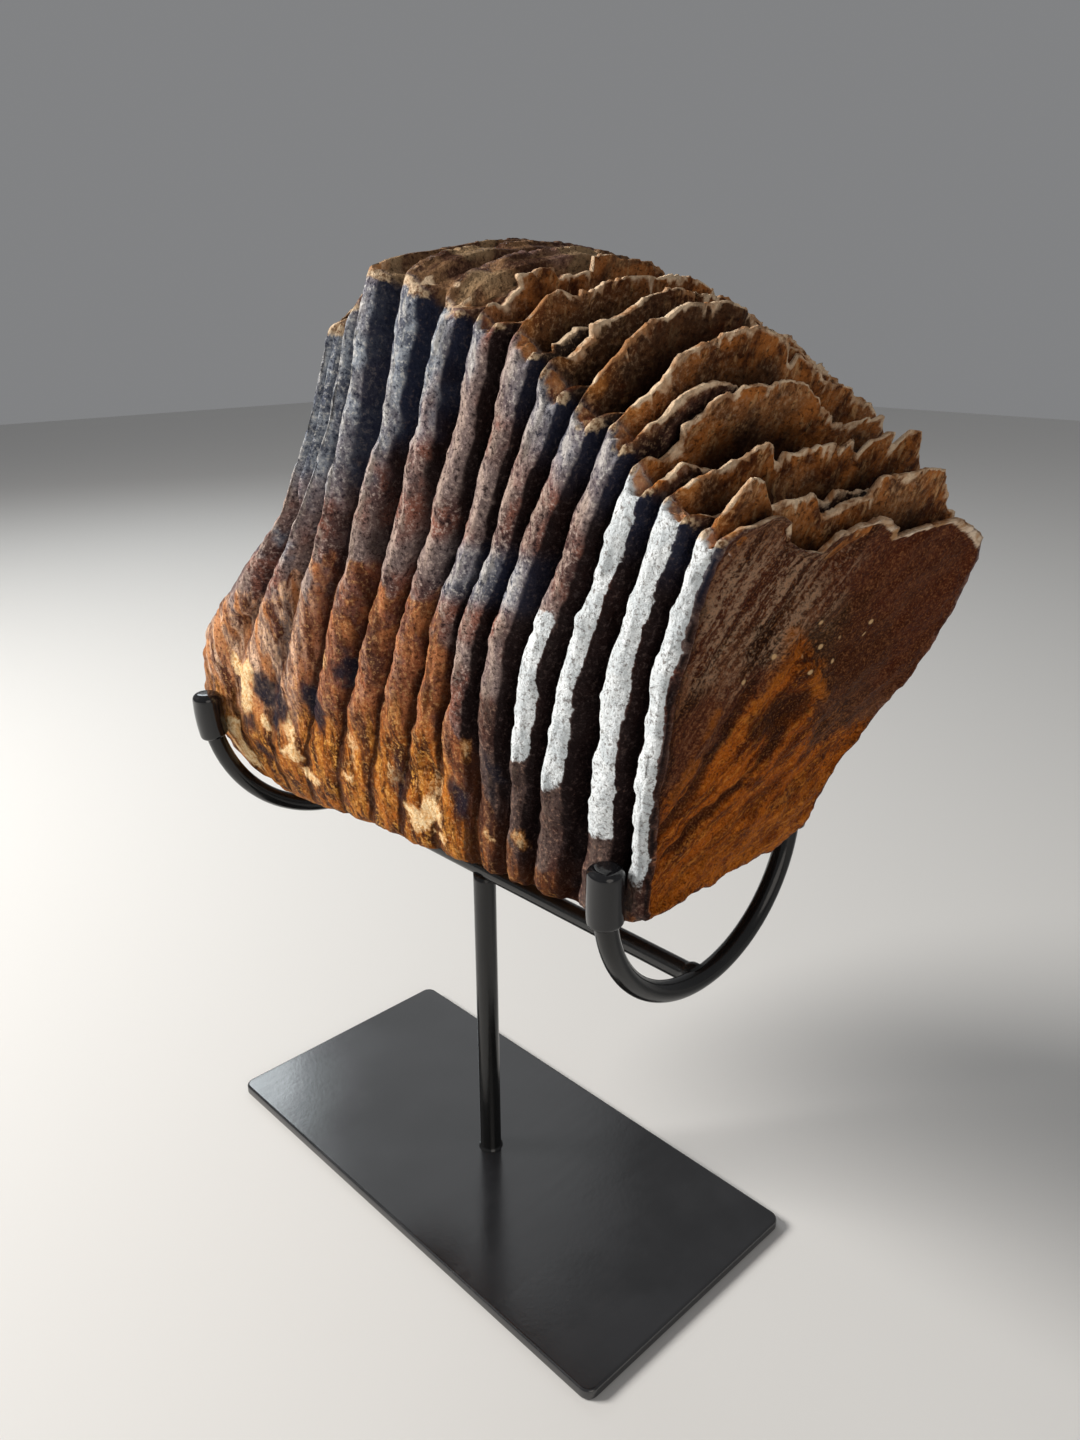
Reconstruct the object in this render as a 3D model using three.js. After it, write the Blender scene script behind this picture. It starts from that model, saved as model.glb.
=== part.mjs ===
// Fossil mammoth molar resting in a black steel cradle stand.
// Millimetres, +Z up. X runs along the base and the rail, Y across them.
// The origin is the middle of the base plate's underside.
import * as THREE from 'three';

// ---- stand: driving dimensions ----
const BASE_LENGTH = 200;
const BASE_WIDTH = 100;
const BASE_THICKNESS = 4;
const BASE_CORNER = 4;
const BASE_ARRIS = 0.8;
const POST_RADIUS = 4;
const ROD_RADIUS = 3.2;
const FIT_GAP = 0.3;
const RAIL_HEIGHT = 125;
const CAP_RADIUS = 5;
const CAP_LENGTH = 16.5;
const CAP_WALL = 1.6;
const RIGHT_CRADLE = { x: 95, radius: 41.5, straight: 9 };
const LEFT_CRADLE = { x: -85, radius: 54, straight: 1.5 };

// ---- molar: driving dimensions ----
// Heights at which the near edge of each plate is placed along X.
const LEVELS = [154, 179, 204, 229, 254, 279, 309, 339];
// One row per enamel plate, heel end first: X of the plate's near edge at each level.
const PLATE_X = [
  [-84, -89, -79, -55.5, -31, -15, -2, 8],
  [-69, -70, -54, -39, -23, -9, 3, 13],
  [-56, -43, -33, -23.5, -11, 0, 9.5, 18],
  [-36, -27, -16, -6, 5, 18, 27, 36],
  [-18, -10, 0, 11, 23, 32, 44, 55],
  [-4, 5, 14, 24.5, 37, 47.5, 58, 69],
  [12, 19.5, 28, 37.5, 50, 60.5, 72, 84],
  [29, 33, 38, 46, 59.5, 72, 85, 98],
  [45, 49, 52, 57.5, 71, 84.5, 98, 111],
  [54.5, 58, 65, 71, 84, 96.5, 110, 124],
  [66, 70.5, 77, 84.5, 96, 107, 122, 136],
  [84, 89, 94, 99, 108, 118.5, 133, 147],
  [98, 101.5, 107, 112, 120.5, 131, 145, 159],
];
// Height of each plate's worn rim, near tip to far tip, at the fractions in RIM_AT.
const RIM_AT = [0, 0.08, 0.25, 0.45, 0.65, 0.85, 1];
const PLATE_RIM = [
  [308, 313, 318, 322, 320, 314, 304],
  [309, 314, 320, 324, 322, 316, 306],
  [317, 322, 325, 326, 325, 319, 309],
  [316, 321, 324, 325, 323, 317, 306],
  [310, 316, 321, 322, 319, 312, 301],
  [308, 316, 320, 320, 315, 308, 295],
  [305, 311, 315, 316, 311, 304, 289],
  [294, 304, 311, 312, 306, 298, 282],
  [288, 298, 309, 308, 298, 288, 273],
  [285, 295, 301, 302, 292, 284, 268],
  [274, 280, 289, 290, 284, 278, 264],
  [271, 275, 280, 283, 282, 274, 259],
  [265, 267, 262, 264, 260, 262, 252],
];
// Near and far faces of the tooth at its two ends, as heights and half breadths.
const FRONT_END = {
  z: [150, 154, 164, 179, 187, 194, 206, 234, 266, 304, 334],
  near: [-35, -35.6, -36.1, -36.1, -38, -40, -41.5, -44, -46, -46, -44],
  far: [34, 35.2, 35.6, 35.7, 38.6, 42.4, 47, 50.5, 46, 44, 42],
};
const HEEL_END = {
  z: [136, 142, 154, 169, 184, 194, 219, 249, 289, 334],
  near: [-31, -35, -42, -48, -48.4, -51, -52, -51, -48, -44],
  far: [31, 35, 42, 48, 48.4, 52, 55, 54, 50, 44],
};
// Twist of the plates: how far the far edge leads the near edge, per millimetre of breadth.
const TWIST_Z = [154, 174, 189, 204, 224, 244, 334];
const TWIST = [-0.02, 0.08, 0.11, 0.16, 0.21, 0.22, 0.2];
// Underside of the root mass along X.
const SOLE_X = [-100, -88, -60, 88, 104, 120];
const SOLE_Z = [152, 147, 143, 156.5, 158.5, 163];
const GROOVE_SIDE = 7;
const GROOVE_TOP = 24;
const POCKET_TOP = 17;
// Shares of each face's height at which the section is drawn, closer together near the cradle.
const FACE_AT = [0, 0.05, 0.12, 0.2, 0.27, 0.36, 0.47, 0.6, 0.74, 0.88];
const TOP_STEPS = 12;
const SOLE_STEPS = 4;

const group = new THREE.Group();
group.name = 'mammoth_molar_on_stand';

function paint(colour, roughness, metalness) {
  return new THREE.MeshStandardMaterial({ color: colour, roughness, metalness });
}

function addPiece(parent, name, geometry, material) {
  const mesh = new THREE.Mesh(geometry, material);
  mesh.name = name;
  parent.add(mesh);
  return mesh;
}

function subgroup(name) {
  const child = new THREE.Group();
  child.name = name;
  group.add(child);
  return child;
}

function table(value, keys, values) {
  let k = 0;
  while (k < keys.length - 2 && value > keys[k + 1]) {
    k += 1;
  }
  const t = (value - keys[k]) / (keys[k + 1] - keys[k]);
  const held = Math.min(Math.max(t, 0), 1);
  return values[k] + (values[k + 1] - values[k]) * held;
}

// ---- base plate with rounded corners and a softened arris ----
function basePlate() {
  const shape = new THREE.Shape();
  const a = BASE_LENGTH / 2 - BASE_ARRIS;
  const b = BASE_WIDTH / 2 - BASE_ARRIS;
  const r = BASE_CORNER;
  shape.moveTo(-a + r, -b);
  shape.lineTo(a - r, -b);
  shape.absarc(a - r, -b + r, r, -Math.PI / 2, 0, false);
  shape.lineTo(a, b - r);
  shape.absarc(a - r, b - r, r, 0, Math.PI / 2, false);
  shape.lineTo(-a + r, b);
  shape.absarc(-a + r, b - r, r, Math.PI / 2, Math.PI, false);
  shape.lineTo(-a, -b + r);
  shape.absarc(-a + r, -b + r, r, Math.PI, Math.PI * 1.5, false);
  const geometry = new THREE.ExtrudeGeometry(shape, {
    depth: BASE_THICKNESS - 2 * BASE_ARRIS,
    bevelEnabled: true,
    bevelThickness: BASE_ARRIS,
    bevelSize: BASE_ARRIS,
    bevelSegments: 2,
    curveSegments: 4,
  });
  geometry.translate(0, 0, BASE_THICKNESS / 2 - (BASE_THICKNESS - 2 * BASE_ARRIS) / 2);
  return geometry;
}

// ---- straight rod along Z, with a small weld fillet flaring at its foot ----
function post() {
  const foot = BASE_THICKNESS + FIT_GAP;
  const head = RAIL_HEIGHT - ROD_RADIUS - FIT_GAP;
  const profile = [
    new THREE.Vector2(0, foot),
    new THREE.Vector2(POST_RADIUS + 1.4, foot),
    new THREE.Vector2(POST_RADIUS + 0.5, foot + 0.5),
    new THREE.Vector2(POST_RADIUS, foot + 1.4),
    new THREE.Vector2(POST_RADIUS, head),
    new THREE.Vector2(0, head),
  ];
  const geometry = new THREE.LatheGeometry(profile, 24);
  geometry.rotateX(Math.PI / 2);
  return geometry;
}

// ---- rail: a straight rod along X between the two cradles ----
function rail() {
  const from = LEFT_CRADLE.x + ROD_RADIUS + FIT_GAP;
  const to = RIGHT_CRADLE.x - ROD_RADIUS - FIT_GAP;
  const fillet = 1.3;
  const profile = [
    new THREE.Vector2(0, from),
    new THREE.Vector2(ROD_RADIUS, from),
    new THREE.Vector2(ROD_RADIUS, from + fillet),
    new THREE.Vector2(ROD_RADIUS, to - fillet),
    new THREE.Vector2(ROD_RADIUS, to),
    new THREE.Vector2(0, to),
  ];
  const geometry = new THREE.LatheGeometry(profile, 20);
  geometry.rotateZ(-Math.PI / 2);
  geometry.rotateX(Math.PI / 12);
  geometry.translate(0, 0, RAIL_HEIGHT);
  return geometry;
}

// ---- cradles: a rod bent into a U whose two tips run straight up ----
// Place on the rod of one side, at a distance above the end of the bend, with its two directions.
function rodFrame(spec, side, above) {
  const bend = Math.max(-above, 0) / spec.radius;
  const rise = Math.max(above, 0);
  const centre = RAIL_HEIGHT + spec.radius;
  const y = side * spec.radius * Math.cos(bend);
  const z = centre - spec.radius * Math.sin(bend) + rise;
  return { y, z, outY: side * Math.cos(bend), outZ: -Math.sin(bend) };
}

// Closed skin through a row of rings; each ring is a place on the rod and a radius.
function ringSkin(spec, side, rings, sides) {
  const positions = [];
  const indices = [];
  for (const [above, radius] of rings) {
    const f = rodFrame(spec, side, above);
    for (let j = 0; j < sides; j += 1) {
      const a = (j / sides) * Math.PI * 2;
      const c = radius * Math.cos(a);
      positions.push(spec.x + side * radius * Math.sin(a), f.y + f.outY * c, f.z + f.outZ * c);
    }
  }
  for (let i = 0; i < rings.length - 1; i += 1) {
    for (let j = 0; j < sides; j += 1) {
      const k = (j + 1) % sides;
      const a = i * sides + j;
      const b = i * sides + k;
      indices.push(a, b, b + sides, a, b + sides, a + sides);
    }
  }
  const hub = positions.length / 3;
  for (const end of [0, rings.length - 1]) {
    const f = rodFrame(spec, side, rings[end][0]);
    positions.push(spec.x, f.y, f.z);
    for (let j = 0; j < sides; j += 1) {
      const k = (j + 1) % sides;
      const a = end * sides + j;
      const b = end * sides + k;
      indices.push(...(end === 0 ? [hub, b, a] : [hub + 1, a, b]));
    }
  }
  const geometry = new THREE.BufferGeometry();
  geometry.setAttribute('position', new THREE.Float32BufferAttribute(positions, 3));
  geometry.setIndex(indices);
  geometry.computeVertexNormals();
  return geometry;
}

function cradle(spec) {
  const rings = [[spec.straight, ROD_RADIUS]];
  const steps = 20;
  const sweep = Math.PI * spec.radius;
  for (let i = 0; i <= steps; i += 1) {
    rings.push([(-sweep * i) / steps, ROD_RADIUS]);
  }
  const geometry = ringSkin(spec, -1, rings, 12);
  // The far tip: the last ring and its hub are lifted straight up from the end of the bend.
  const place = geometry.getAttribute('position');
  const first = (rings.length - 1) * 12;
  const copy = [];
  for (let i = 0; i < place.count; i += 1) {
    copy.push([place.getX(i), place.getY(i), place.getZ(i)]);
  }
  for (let i = first; i < first + 12; i += 1) {
    place.setZ(i, copy[i][2] + spec.straight);
  }
  place.setZ(place.count - 1, copy[place.count - 1][2] + spec.straight);
  return geometry;
}

// ---- rubber tip: a blind sleeve pushed down over the end of a cradle rod and bending with it ----
function tipCap(spec, side) {
  const crown = spec.straight + CAP_WALL + FIT_GAP;
  const mouth = crown - CAP_LENGTH;
  const bore = ROD_RADIUS + FIT_GAP;
  const roof = spec.straight + FIT_GAP;
  const steps = 4;
  const rings = [[crown, CAP_RADIUS - 2], [crown - 0.6, CAP_RADIUS - 0.6]];
  for (let i = 0; i <= steps; i += 1) {
    rings.push([crown - 1.8 + ((mouth + 2.4 - crown) * i) / steps, CAP_RADIUS]);
  }
  rings.push([mouth, CAP_RADIUS - 0.5]);
  for (let i = 0; i <= steps; i += 1) {
    rings.push([mouth + ((roof - mouth) * i) / steps, bore]);
  }
  return ringSkin(spec, side, rings, 12);
}

// ---- molar ----
// X of the near edge at a fractional plate number and a height.
function plateX(s, z) {
  const i = Math.min(Math.max(Math.floor(s), 0), PLATE_X.length - 2);
  const f = s - i;
  const a = table(z, LEVELS, PLATE_X[i]);
  const b = table(z, LEVELS, PLATE_X[i + 1]);
  return a + (b - a) * f;
}

function rimHeight(s, u) {
  const i = Math.min(Math.max(Math.floor(s), 0), PLATE_RIM.length - 2);
  const f = Math.min(Math.max(s - i, 0), 1);
  const a = table(u, RIM_AT, PLATE_RIM[i]);
  const b = table(u, RIM_AT, PLATE_RIM[i + 1]);
  return a + (b - a) * f;
}

function faceY(x, z, which) {
  const heel = table(z, HEEL_END.z, HEEL_END[which]);
  const front = table(z, FRONT_END.z, FRONT_END[which]);
  const t = Math.min(Math.max((x + 85) / 180, 0), 1);
  return heel + (front - heel) * t;
}

// Closed outline of the section on plate number s: near face, rim, far face, sole.
function section(s) {
  const points = [];
  const sole = table(plateX(s, 158), SOLE_X, SOLE_Z);
  const tip = rimHeight(s, 0);
  const farTip = rimHeight(s, 1);
  for (const rise of FACE_AT) {
    const z = sole + (tip - sole) * rise;
    points.push({ y: faceY(plateX(s, z), z, 'near'), z, up: 0, rise });
  }
  const yNear = faceY(plateX(s, tip), tip, 'near');
  const yFar = faceY(plateX(s, farTip), farTip, 'far');
  for (let i = 0; i < TOP_STEPS; i += 1) {
    const u = i / TOP_STEPS;
    points.push({ y: yNear + (yFar - yNear) * u, z: rimHeight(s, u), up: Math.sin(Math.PI * u), rise: 1 });
  }
  points.push({ y: yFar, z: farTip, up: 0, rise: 1 });
  for (const rise of FACE_AT.slice(1).reverse()) {
    const z = sole + (farTip - sole) * rise;
    points.push({ y: faceY(plateX(s, z), z, 'far'), z, up: 0, rise });
  }
  const yA = faceY(plateX(s, sole), sole, 'far');
  const yB = faceY(plateX(s, sole), sole, 'near');
  for (let i = 0; i < SOLE_STEPS; i += 1) {
    const u = i / SOLE_STEPS;
    points.push({ y: yA + (yB - yA) * u, z: sole - 2.5 * Math.sin(Math.PI * u), up: 0, rise: 0 });
  }
  return { points, core: [sole + 36, Math.max(rimHeight(s, 0.5) - 46, sole + 44)] };
}

// Moves a section point inwards, towards the middle of the tooth, by a depth.
function inward(point, core, depth) {
  const z = Math.min(Math.max(point.z, core[0]), core[1]);
  const dy = 1 - point.y;
  const dz = z - point.z;
  const length = Math.hypot(dy, dz);
  const t = Math.min(depth / length, 0.96);
  return { y: point.y + dy * t, z: point.z + dz * t };
}

function toSpace(s, y, z) {
  const x = plateX(s, z);
  return [x + table(z, TWIST_Z, TWIST) * (y - faceY(x, z, 'near')), y, z];
}

// Profile across one plate: offset from its middle, share of groove, share of pocket.
const PROFILE = [
  [-0.5, 1, 0],
  [-0.32, 0, 0],
  [-0.21, 0, 0],
  [-0.14, 0, 1],
  [0.14, 0, 1],
  [0.21, 0, 0],
  [0.32, 0, 0],
];

function molar() {
  const count = PLATE_X.length;
  const rows = [];
  rows.push({ s: -0.45, groove: 0, pocket: 0, inset: 26 });
  rows.push({ s: -0.46, groove: 0, pocket: 0, inset: 12 });
  rows.push({ s: -0.42, groove: 0, pocket: 0, inset: 3 });
  for (let plate = 0; plate < count; plate += 1) {
    for (const [offset, groove, pocket] of PROFILE) {
      if (plate > 0 || offset > -0.4) {
        rows.push({ s: plate + offset, groove, pocket, inset: 0, plate });
      }
    }
  }
  const rings = [];
  for (const row of rows) {
    const { points, core } = section(row.s);
    const ring = [];
    for (const point of points) {
      const side = GROOVE_SIDE * (0.3 + 0.7 * Math.min(point.rise * 1.6, 1));
      const groove = point.rise === 0 ? 0.8 : side + (GROOVE_TOP - side) * Math.sqrt(point.up);
      const pocket = POCKET_TOP * Math.sqrt(point.up);
      const depth = row.inset + row.groove * groove + row.pocket * pocket;
      const moved = inward(point, core, depth);
      ring.push(toSpace(row.s, moved.y, moved.z));
    }
    rings.push(ring);
  }
  const n = rings[0].length;
  const positions = [];
  for (const ring of rings) {
    for (const p of ring) {
      positions.push(p[0], p[1], p[2]);
    }
  }
  const indices = [];
  for (let r = 0; r < rings.length - 1; r += 1) {
    for (let j = 0; j < n; j += 1) {
      const k = (j + 1) % n;
      const a = r * n + j;
      const b = r * n + k;
      indices.push(a, a + n, b + n, a, b + n, b);
    }
  }
  // Each end face is closed by one smaller ring and a point at its middle.
  for (const r of [0, rings.length - 1]) {
    const { s } = rows[r];
    const { core } = section(s);
    const middle = { y: 1, z: (core[0] + core[1]) / 2 };
    const half = positions.length / 3;
    for (const p of rings[r]) {
      positions.push(...toSpace(s, (p[1] + middle.y) / 2, (p[2] + middle.z) / 2));
    }
    const hub = positions.length / 3;
    positions.push(...toSpace(s, middle.y, middle.z));
    for (let j = 0; j < n; j += 1) {
      const k = (j + 1) % n;
      const a = r * n + j;
      const b = r * n + k;
      const faces = [[a, half + j, half + k], [a, half + k, b], [half + j, hub, half + k]];
      for (const [p, q, t] of faces) {
        indices.push(...(r === 0 ? [p, t, q] : [p, q, t]));
      }
    }
  }
  const geometry = new THREE.BufferGeometry();
  geometry.setAttribute('position', new THREE.Float32BufferAttribute(positions, 3));
  geometry.setIndex(indices);
  geometry.computeVertexNormals();
  return geometry;
}

// ---- assembly ----
const fossil = subgroup('fossil');
addPiece(fossil, 'molar', molar(), paint(0x7a5236, 0.85, 0));

const stand = subgroup('stand');
addPiece(stand, 'base_plate', basePlate(), paint(0x0c0c0d, 0.35, 0.1));
addPiece(stand, 'post', post(), paint(0x0b0b0c, 0.35, 0.1));
addPiece(stand, 'rail', rail(), paint(0x0b0b0c, 0.35, 0.1));
addPiece(stand, 'cradle_right', cradle(RIGHT_CRADLE), paint(0x0b0b0c, 0.35, 0.1));
addPiece(stand, 'cradle_left', cradle(LEFT_CRADLE), paint(0x0b0b0c, 0.35, 0.1));

const tips = subgroup('tips');
addPiece(tips, 'cap_right_near', tipCap(RIGHT_CRADLE, -1), paint(0x08080a, 0.45, 0));
addPiece(tips, 'cap_right_far', tipCap(RIGHT_CRADLE, 1), paint(0x08080a, 0.45, 0));
addPiece(tips, 'cap_left_near', tipCap(LEFT_CRADLE, -1), paint(0x08080a, 0.45, 0));
addPiece(tips, 'cap_left_far', tipCap(LEFT_CRADLE, 1), paint(0x08080a, 0.45, 0));

export default group;
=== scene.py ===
"""Looks for the fossil mammoth molar on its stand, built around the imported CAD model.

The molar is one skin. Its rows are sections through the tooth, from the heel to the cleaved front face. Its
columns run round each section: up the near side, over the broken top, down the far side and back along the
sole. A number s says where a section lies: whole numbers are the thirteen plates, from 0 at the heel to 12
at the front, and halves are the grooves between them. The tooth's and the stand's sizes are in mm.
"""
import math
from types import SimpleNamespace

import bmesh
import bpy
import numpy as np
from mathutils import Matrix, Vector


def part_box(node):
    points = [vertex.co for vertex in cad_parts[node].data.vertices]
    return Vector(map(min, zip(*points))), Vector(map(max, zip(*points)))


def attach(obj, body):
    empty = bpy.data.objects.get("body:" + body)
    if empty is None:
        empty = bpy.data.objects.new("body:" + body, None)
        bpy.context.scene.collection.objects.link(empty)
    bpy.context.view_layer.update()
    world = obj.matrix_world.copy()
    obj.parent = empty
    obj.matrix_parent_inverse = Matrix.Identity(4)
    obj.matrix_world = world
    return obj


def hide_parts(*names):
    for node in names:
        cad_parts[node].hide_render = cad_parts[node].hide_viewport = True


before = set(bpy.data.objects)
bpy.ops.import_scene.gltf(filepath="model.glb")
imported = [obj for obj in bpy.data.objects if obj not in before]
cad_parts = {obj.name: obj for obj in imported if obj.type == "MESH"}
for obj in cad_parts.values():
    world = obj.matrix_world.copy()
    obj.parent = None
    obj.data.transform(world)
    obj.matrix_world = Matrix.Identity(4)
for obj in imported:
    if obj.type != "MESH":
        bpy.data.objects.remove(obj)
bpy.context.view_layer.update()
MM = 0.001

# ---------------- the tooth's dimensions, in mm
# Heights at which the near edge of each plate is placed along X, and one row of X for each plate.
LEVELS = np.array([154, 179, 204, 229, 254, 279, 309, 339.0])
PLATE_X = np.array([
    [-84, -89, -79, -55.5, -31, -15, -2, 8],
    [-69, -70, -54, -39, -23, -9, 3, 13],
    [-56, -43, -33, -23.5, -11, 0, 9.5, 18],
    [-36, -27, -16, -6, 5, 18, 27, 36],
    [-18, -10, 0, 11, 23, 32, 44, 55],
    [-4, 5, 14, 24.5, 37, 47.5, 58, 69],
    [12, 19.5, 28, 37.5, 50, 60.5, 72, 84],
    [29, 33, 38, 46, 59.5, 72, 85, 98],
    [45, 49, 52, 57.5, 71, 84.5, 98, 111],
    [54.5, 58, 65, 71, 84, 96.5, 110, 124],
    [66, 70.5, 77, 84.5, 96, 107, 122, 136],
    [84, 89, 94, 99, 108, 118.5, 133, 147],
    [98, 101.5, 107, 112, 120.5, 131, 145, 159.0],
])
PLATES = len(PLATE_X)
# Height of the left and right wall of each plate at these places across the breadth.
WALL_Y = np.array([-46, -42, -38, -34, -29, -24, -18, -12, -5, 2, 9, 16, 24, 32, 40, 46.0])
LEFT_WALL = np.array([
    [304, 308, 312, 316, 319, 321, 322, 324, 325, 325, 323, 320, 316, 313, 308, 304],
    [305, 309, 313, 317, 320, 322, 324, 325, 326, 326, 325, 322, 318, 315, 310, 306],
    [319, 321, 322, 323, 324, 325, 326, 327, 327, 327, 326, 325, 323, 320, 315, 310],
    [315, 318, 320, 322, 323, 324, 324, 325, 325, 325, 324, 322, 319, 315, 310, 305],
    [309, 312, 316, 318, 320, 321, 322, 323, 322, 321, 319, 316, 313, 309, 303, 299],
    [307, 310, 316, 317, 318, 319, 320, 321, 320, 319, 316, 313, 310, 306, 299, 293],
    [303, 306, 310, 312, 311, 313, 314, 315, 316, 315, 312, 309, 305, 300, 292, 287],
    [293, 299, 303, 305, 308, 311, 313, 313, 311, 309, 307, 305, 302, 298, 291, 284],
    [287, 292, 301, 307, 308, 310, 311, 309, 307, 303, 299, 296, 293, 290, 283, 276],
    [285, 288, 292, 297, 300, 302, 304, 304, 302, 298, 294, 291, 289, 286, 278, 271],
    [274, 276, 279, 283, 288, 290, 289, 290, 289, 284, 279, 281, 283, 274, 264, 260],
    [271, 273, 275, 275, 275, 279, 277, 275, 277, 280, 281, 283, 281, 270, 261, 255],
    [265, 267, 278, 277, 268, 268, 270, 269, 270, 271, 272, 271, 270, 264, 256, 249.0],
])
RIGHT_WALL = np.array([
    [302, 306, 310, 314, 317, 318, 320, 321, 322, 322, 320, 317, 313, 309, 305, 301],
    [306, 309, 313, 315, 318, 319, 320, 322, 323, 323, 321, 318, 314, 311, 307, 303],
    [314, 316, 317, 318, 319, 320, 321, 322, 322, 322, 321, 320, 318, 315, 310, 306],
    [313, 315, 317, 318, 318, 319, 320, 321, 321, 320, 319, 318, 315, 311, 306, 301],
    [307, 308, 311, 313, 314, 315, 317, 318, 318, 316, 314, 311, 308, 304, 299, 295],
    [305, 305, 308, 310, 311, 313, 314, 315, 315, 313, 311, 308, 305, 300, 294, 289],
    [301, 302, 306, 305, 303, 305, 307, 308, 309, 308, 306, 303, 299, 293, 287, 283],
    [291, 293, 297, 299, 301, 302, 305, 307, 306, 303, 300, 297, 293, 287, 281, 276],
    [285, 287, 289, 292, 296, 300, 303, 304, 303, 299, 294, 290, 286, 280, 273, 268],
    [283, 288, 295, 298, 298, 297, 296, 297, 297, 295, 291, 287, 283, 277, 268, 262],
    [274, 277, 280, 278, 276, 274, 273, 272, 271, 271, 273, 275, 274, 269, 261, 257],
    [269, 268, 266, 266, 267, 269, 270, 271, 273, 273, 273, 275, 274, 267, 259, 253],
    [265, 266, 267, 265.5, 261, 258.5, 257.5, 262.6, 264.2, 265.5, 262.2, 259.6, 259.6, 261.2, 257, 253.0],
])
# The line above every wall from which the broken rims are lowered.
CREST = np.maximum(LEFT_WALL, RIGHT_WALL) + 1.0
# Near and far faces at the front end and at the heel, by height.
FRONT_Z = np.array([150, 154, 164, 179, 187, 194, 206, 234, 266, 304, 334.0])
FRONT_NEAR = np.array([-35, -35.6, -36.1, -36.1, -38, -40, -41.5, -44, -46, -46, -44])
FRONT_FAR = np.array([34, 35.2, 35.6, 35.7, 38.6, 42.4, 47, 50.5, 46, 44, 42])
HEEL_Z = np.array([136, 142, 154, 169, 184, 194, 219, 249, 289, 334.0])
HEEL_NEAR = np.array([-31, -35, -42, -48, -48.4, -51, -52, -51, -48, -44.0])
HEEL_FAR = np.array([31, 35, 42, 48, 48.4, 52, 55, 54, 50, 44.0])
HEEL_X, TOOTH_LENGTH = -85, 180
# How much the plates turn away from square across the breadth, and the heel's push along X, by height.
TWIST_Z = np.array([154, 167, 179, 197, 206, 217, 224, 250, 270.0])
TWIST = np.array([-0.05, 0.02, 0.08, 0.095, 0.125, 0.17, 0.19, 0.205, 0.215])
HEEL_PUSH_Z = np.array([150, 180, 200, 240, 270, 300.0])
HEEL_PUSH = np.array([-3, -3, -1.5, -1.5, 0, 2.5])
# Height of the sole along X. X is read off each section at one level.
SOLE_X = np.array([-100, -88, -60, -15, 88, 98, 104, 120.0])
SOLE_Z = np.array([152, 146, 141.5, 148.6, 156.5, 159, 161, 167.0])
SOLE_LEVEL = 158
WALL = 1.0          # thickness of an enamel wall
EDGE = 0.325        # outer edge of a plate, as a share of the plate spacing
ROUND = 1.7         # how far a ridge's edges fall back from its crest
TOP_GROOVE = 24     # depth between the open plates
SOLE_GROOVE = 1.3   # depth between the plates on the sole
POCKET = 15         # depth of the pocket in an open plate
SLOT = 3.4          # depth of the slot that opens a pocket at the plate's near tip
YOUNG = 1.6         # how far the second plate lies back where it hasn't come to the surface
# Strokes on the front face, as points of Y and Z and a half width: dark bands, orange seams, a worn groove.
DARK_BANDS = [
    ([(-16, 226), (-21, 213), (-25, 197), (-36, 183)], 3.6),
    ([(-1, 206), (-9.5, 194), (-20, 186), (-33, 174)], 2.6),
    ([(-43, 252), (-40, 215), (-38, 185), (-36, 170)], 4.5),
]
SEAMS = [
    ([(-9.5, 238), (-7.5, 229), (-13, 219)], 3.4),
    ([(-26, 220), (-29, 209), (-32, 198)], 3.4),
    ([(-5, 231), (4, 224), (12, 216)], 2.4),
]
GROOVE = [([(0, 266), (-9, 252), (-20, 236)], 3.5)]
FAN = (-68, 135)    # Y and Z of the point from which the front face's fibres spread
FAN_ARC = 85        # radius at which the distance across the fibres is measured


# ---------------- helpers
def smooth(x, a, b):
    """0 at a and 1 at b with a soft ramp between them; a may be the larger."""
    t = np.clip((x - a) / (b - a), 0, 1)
    return t * t * (3 - 2 * t)


class Noise:
    """Smooth seeded noise from -1 to 1, in one, two or three dimensions."""

    SIZE = 32

    def __init__(self, seed):
        self.table = np.random.RandomState(seed).uniform(-1, 1, (self.SIZE,) * 3)

    def __call__(self, x, y=0.0, z=0.0):
        x, y, z = np.broadcast_arrays(np.asarray(x, float), np.asarray(y, float), np.asarray(z, float))
        i, j, k = (np.floor(v).astype(int) for v in (x, y, z))
        u, v, w = (f * f * f * (f * (f * 6 - 15) + 10) for f in (x - i, y - j, z - k))
        total = 0
        for a in (0, 1):
            for b in (0, 1):
                for c in (0, 1):
                    weight = (u if a else 1 - u) * (v if b else 1 - v) * (w if c else 1 - w)
                    corner = (i + a) % self.SIZE, (j + b) % self.SIZE, (k + c) % self.SIZE
                    total = total + weight * self.table[corner]
        return total


noise = Noise(11)
coarse = Noise(12)
fine = Noise(13)


def strokes(lines, y, z, loose):
    """1 on the drawn lines, fading to 0 at their half width."""
    total = np.zeros(np.broadcast(y, z).shape)
    for points, width in lines:
        for (y0, z0), (y1, z1) in zip(points[:-1], points[1:]):
            along = ((y - y0) * (y1 - y0) + (z - z0) * (z1 - z0)) / ((y1 - y0) ** 2 + (z1 - z0) ** 2)
            along = np.clip(along, 0, 1)
            far = np.hypot(y - y0 - along * (y1 - y0), z - z0 - along * (z1 - z0))
            total = np.maximum(total, smooth(far + loose, width, 0.25 * width))
    return total


def fan(y, z):
    """Distance across and along the front face's spreading fibres."""
    dy, dz = y - FAN[0], z - FAN[1]
    return FAN_ARC * np.arctan2(dy, dz), np.hypot(dy, dz)


def looked_up(table, i, f, j, g):
    """A table's value, a share f of the way from row i to the next and g from column j to the next."""
    this = table[i, j] * (1 - g) + table[i, j + 1] * g
    following = table[i + 1, j] * (1 - g) + table[i + 1, j + 1] * g
    return this * (1 - f) + following * f


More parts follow.
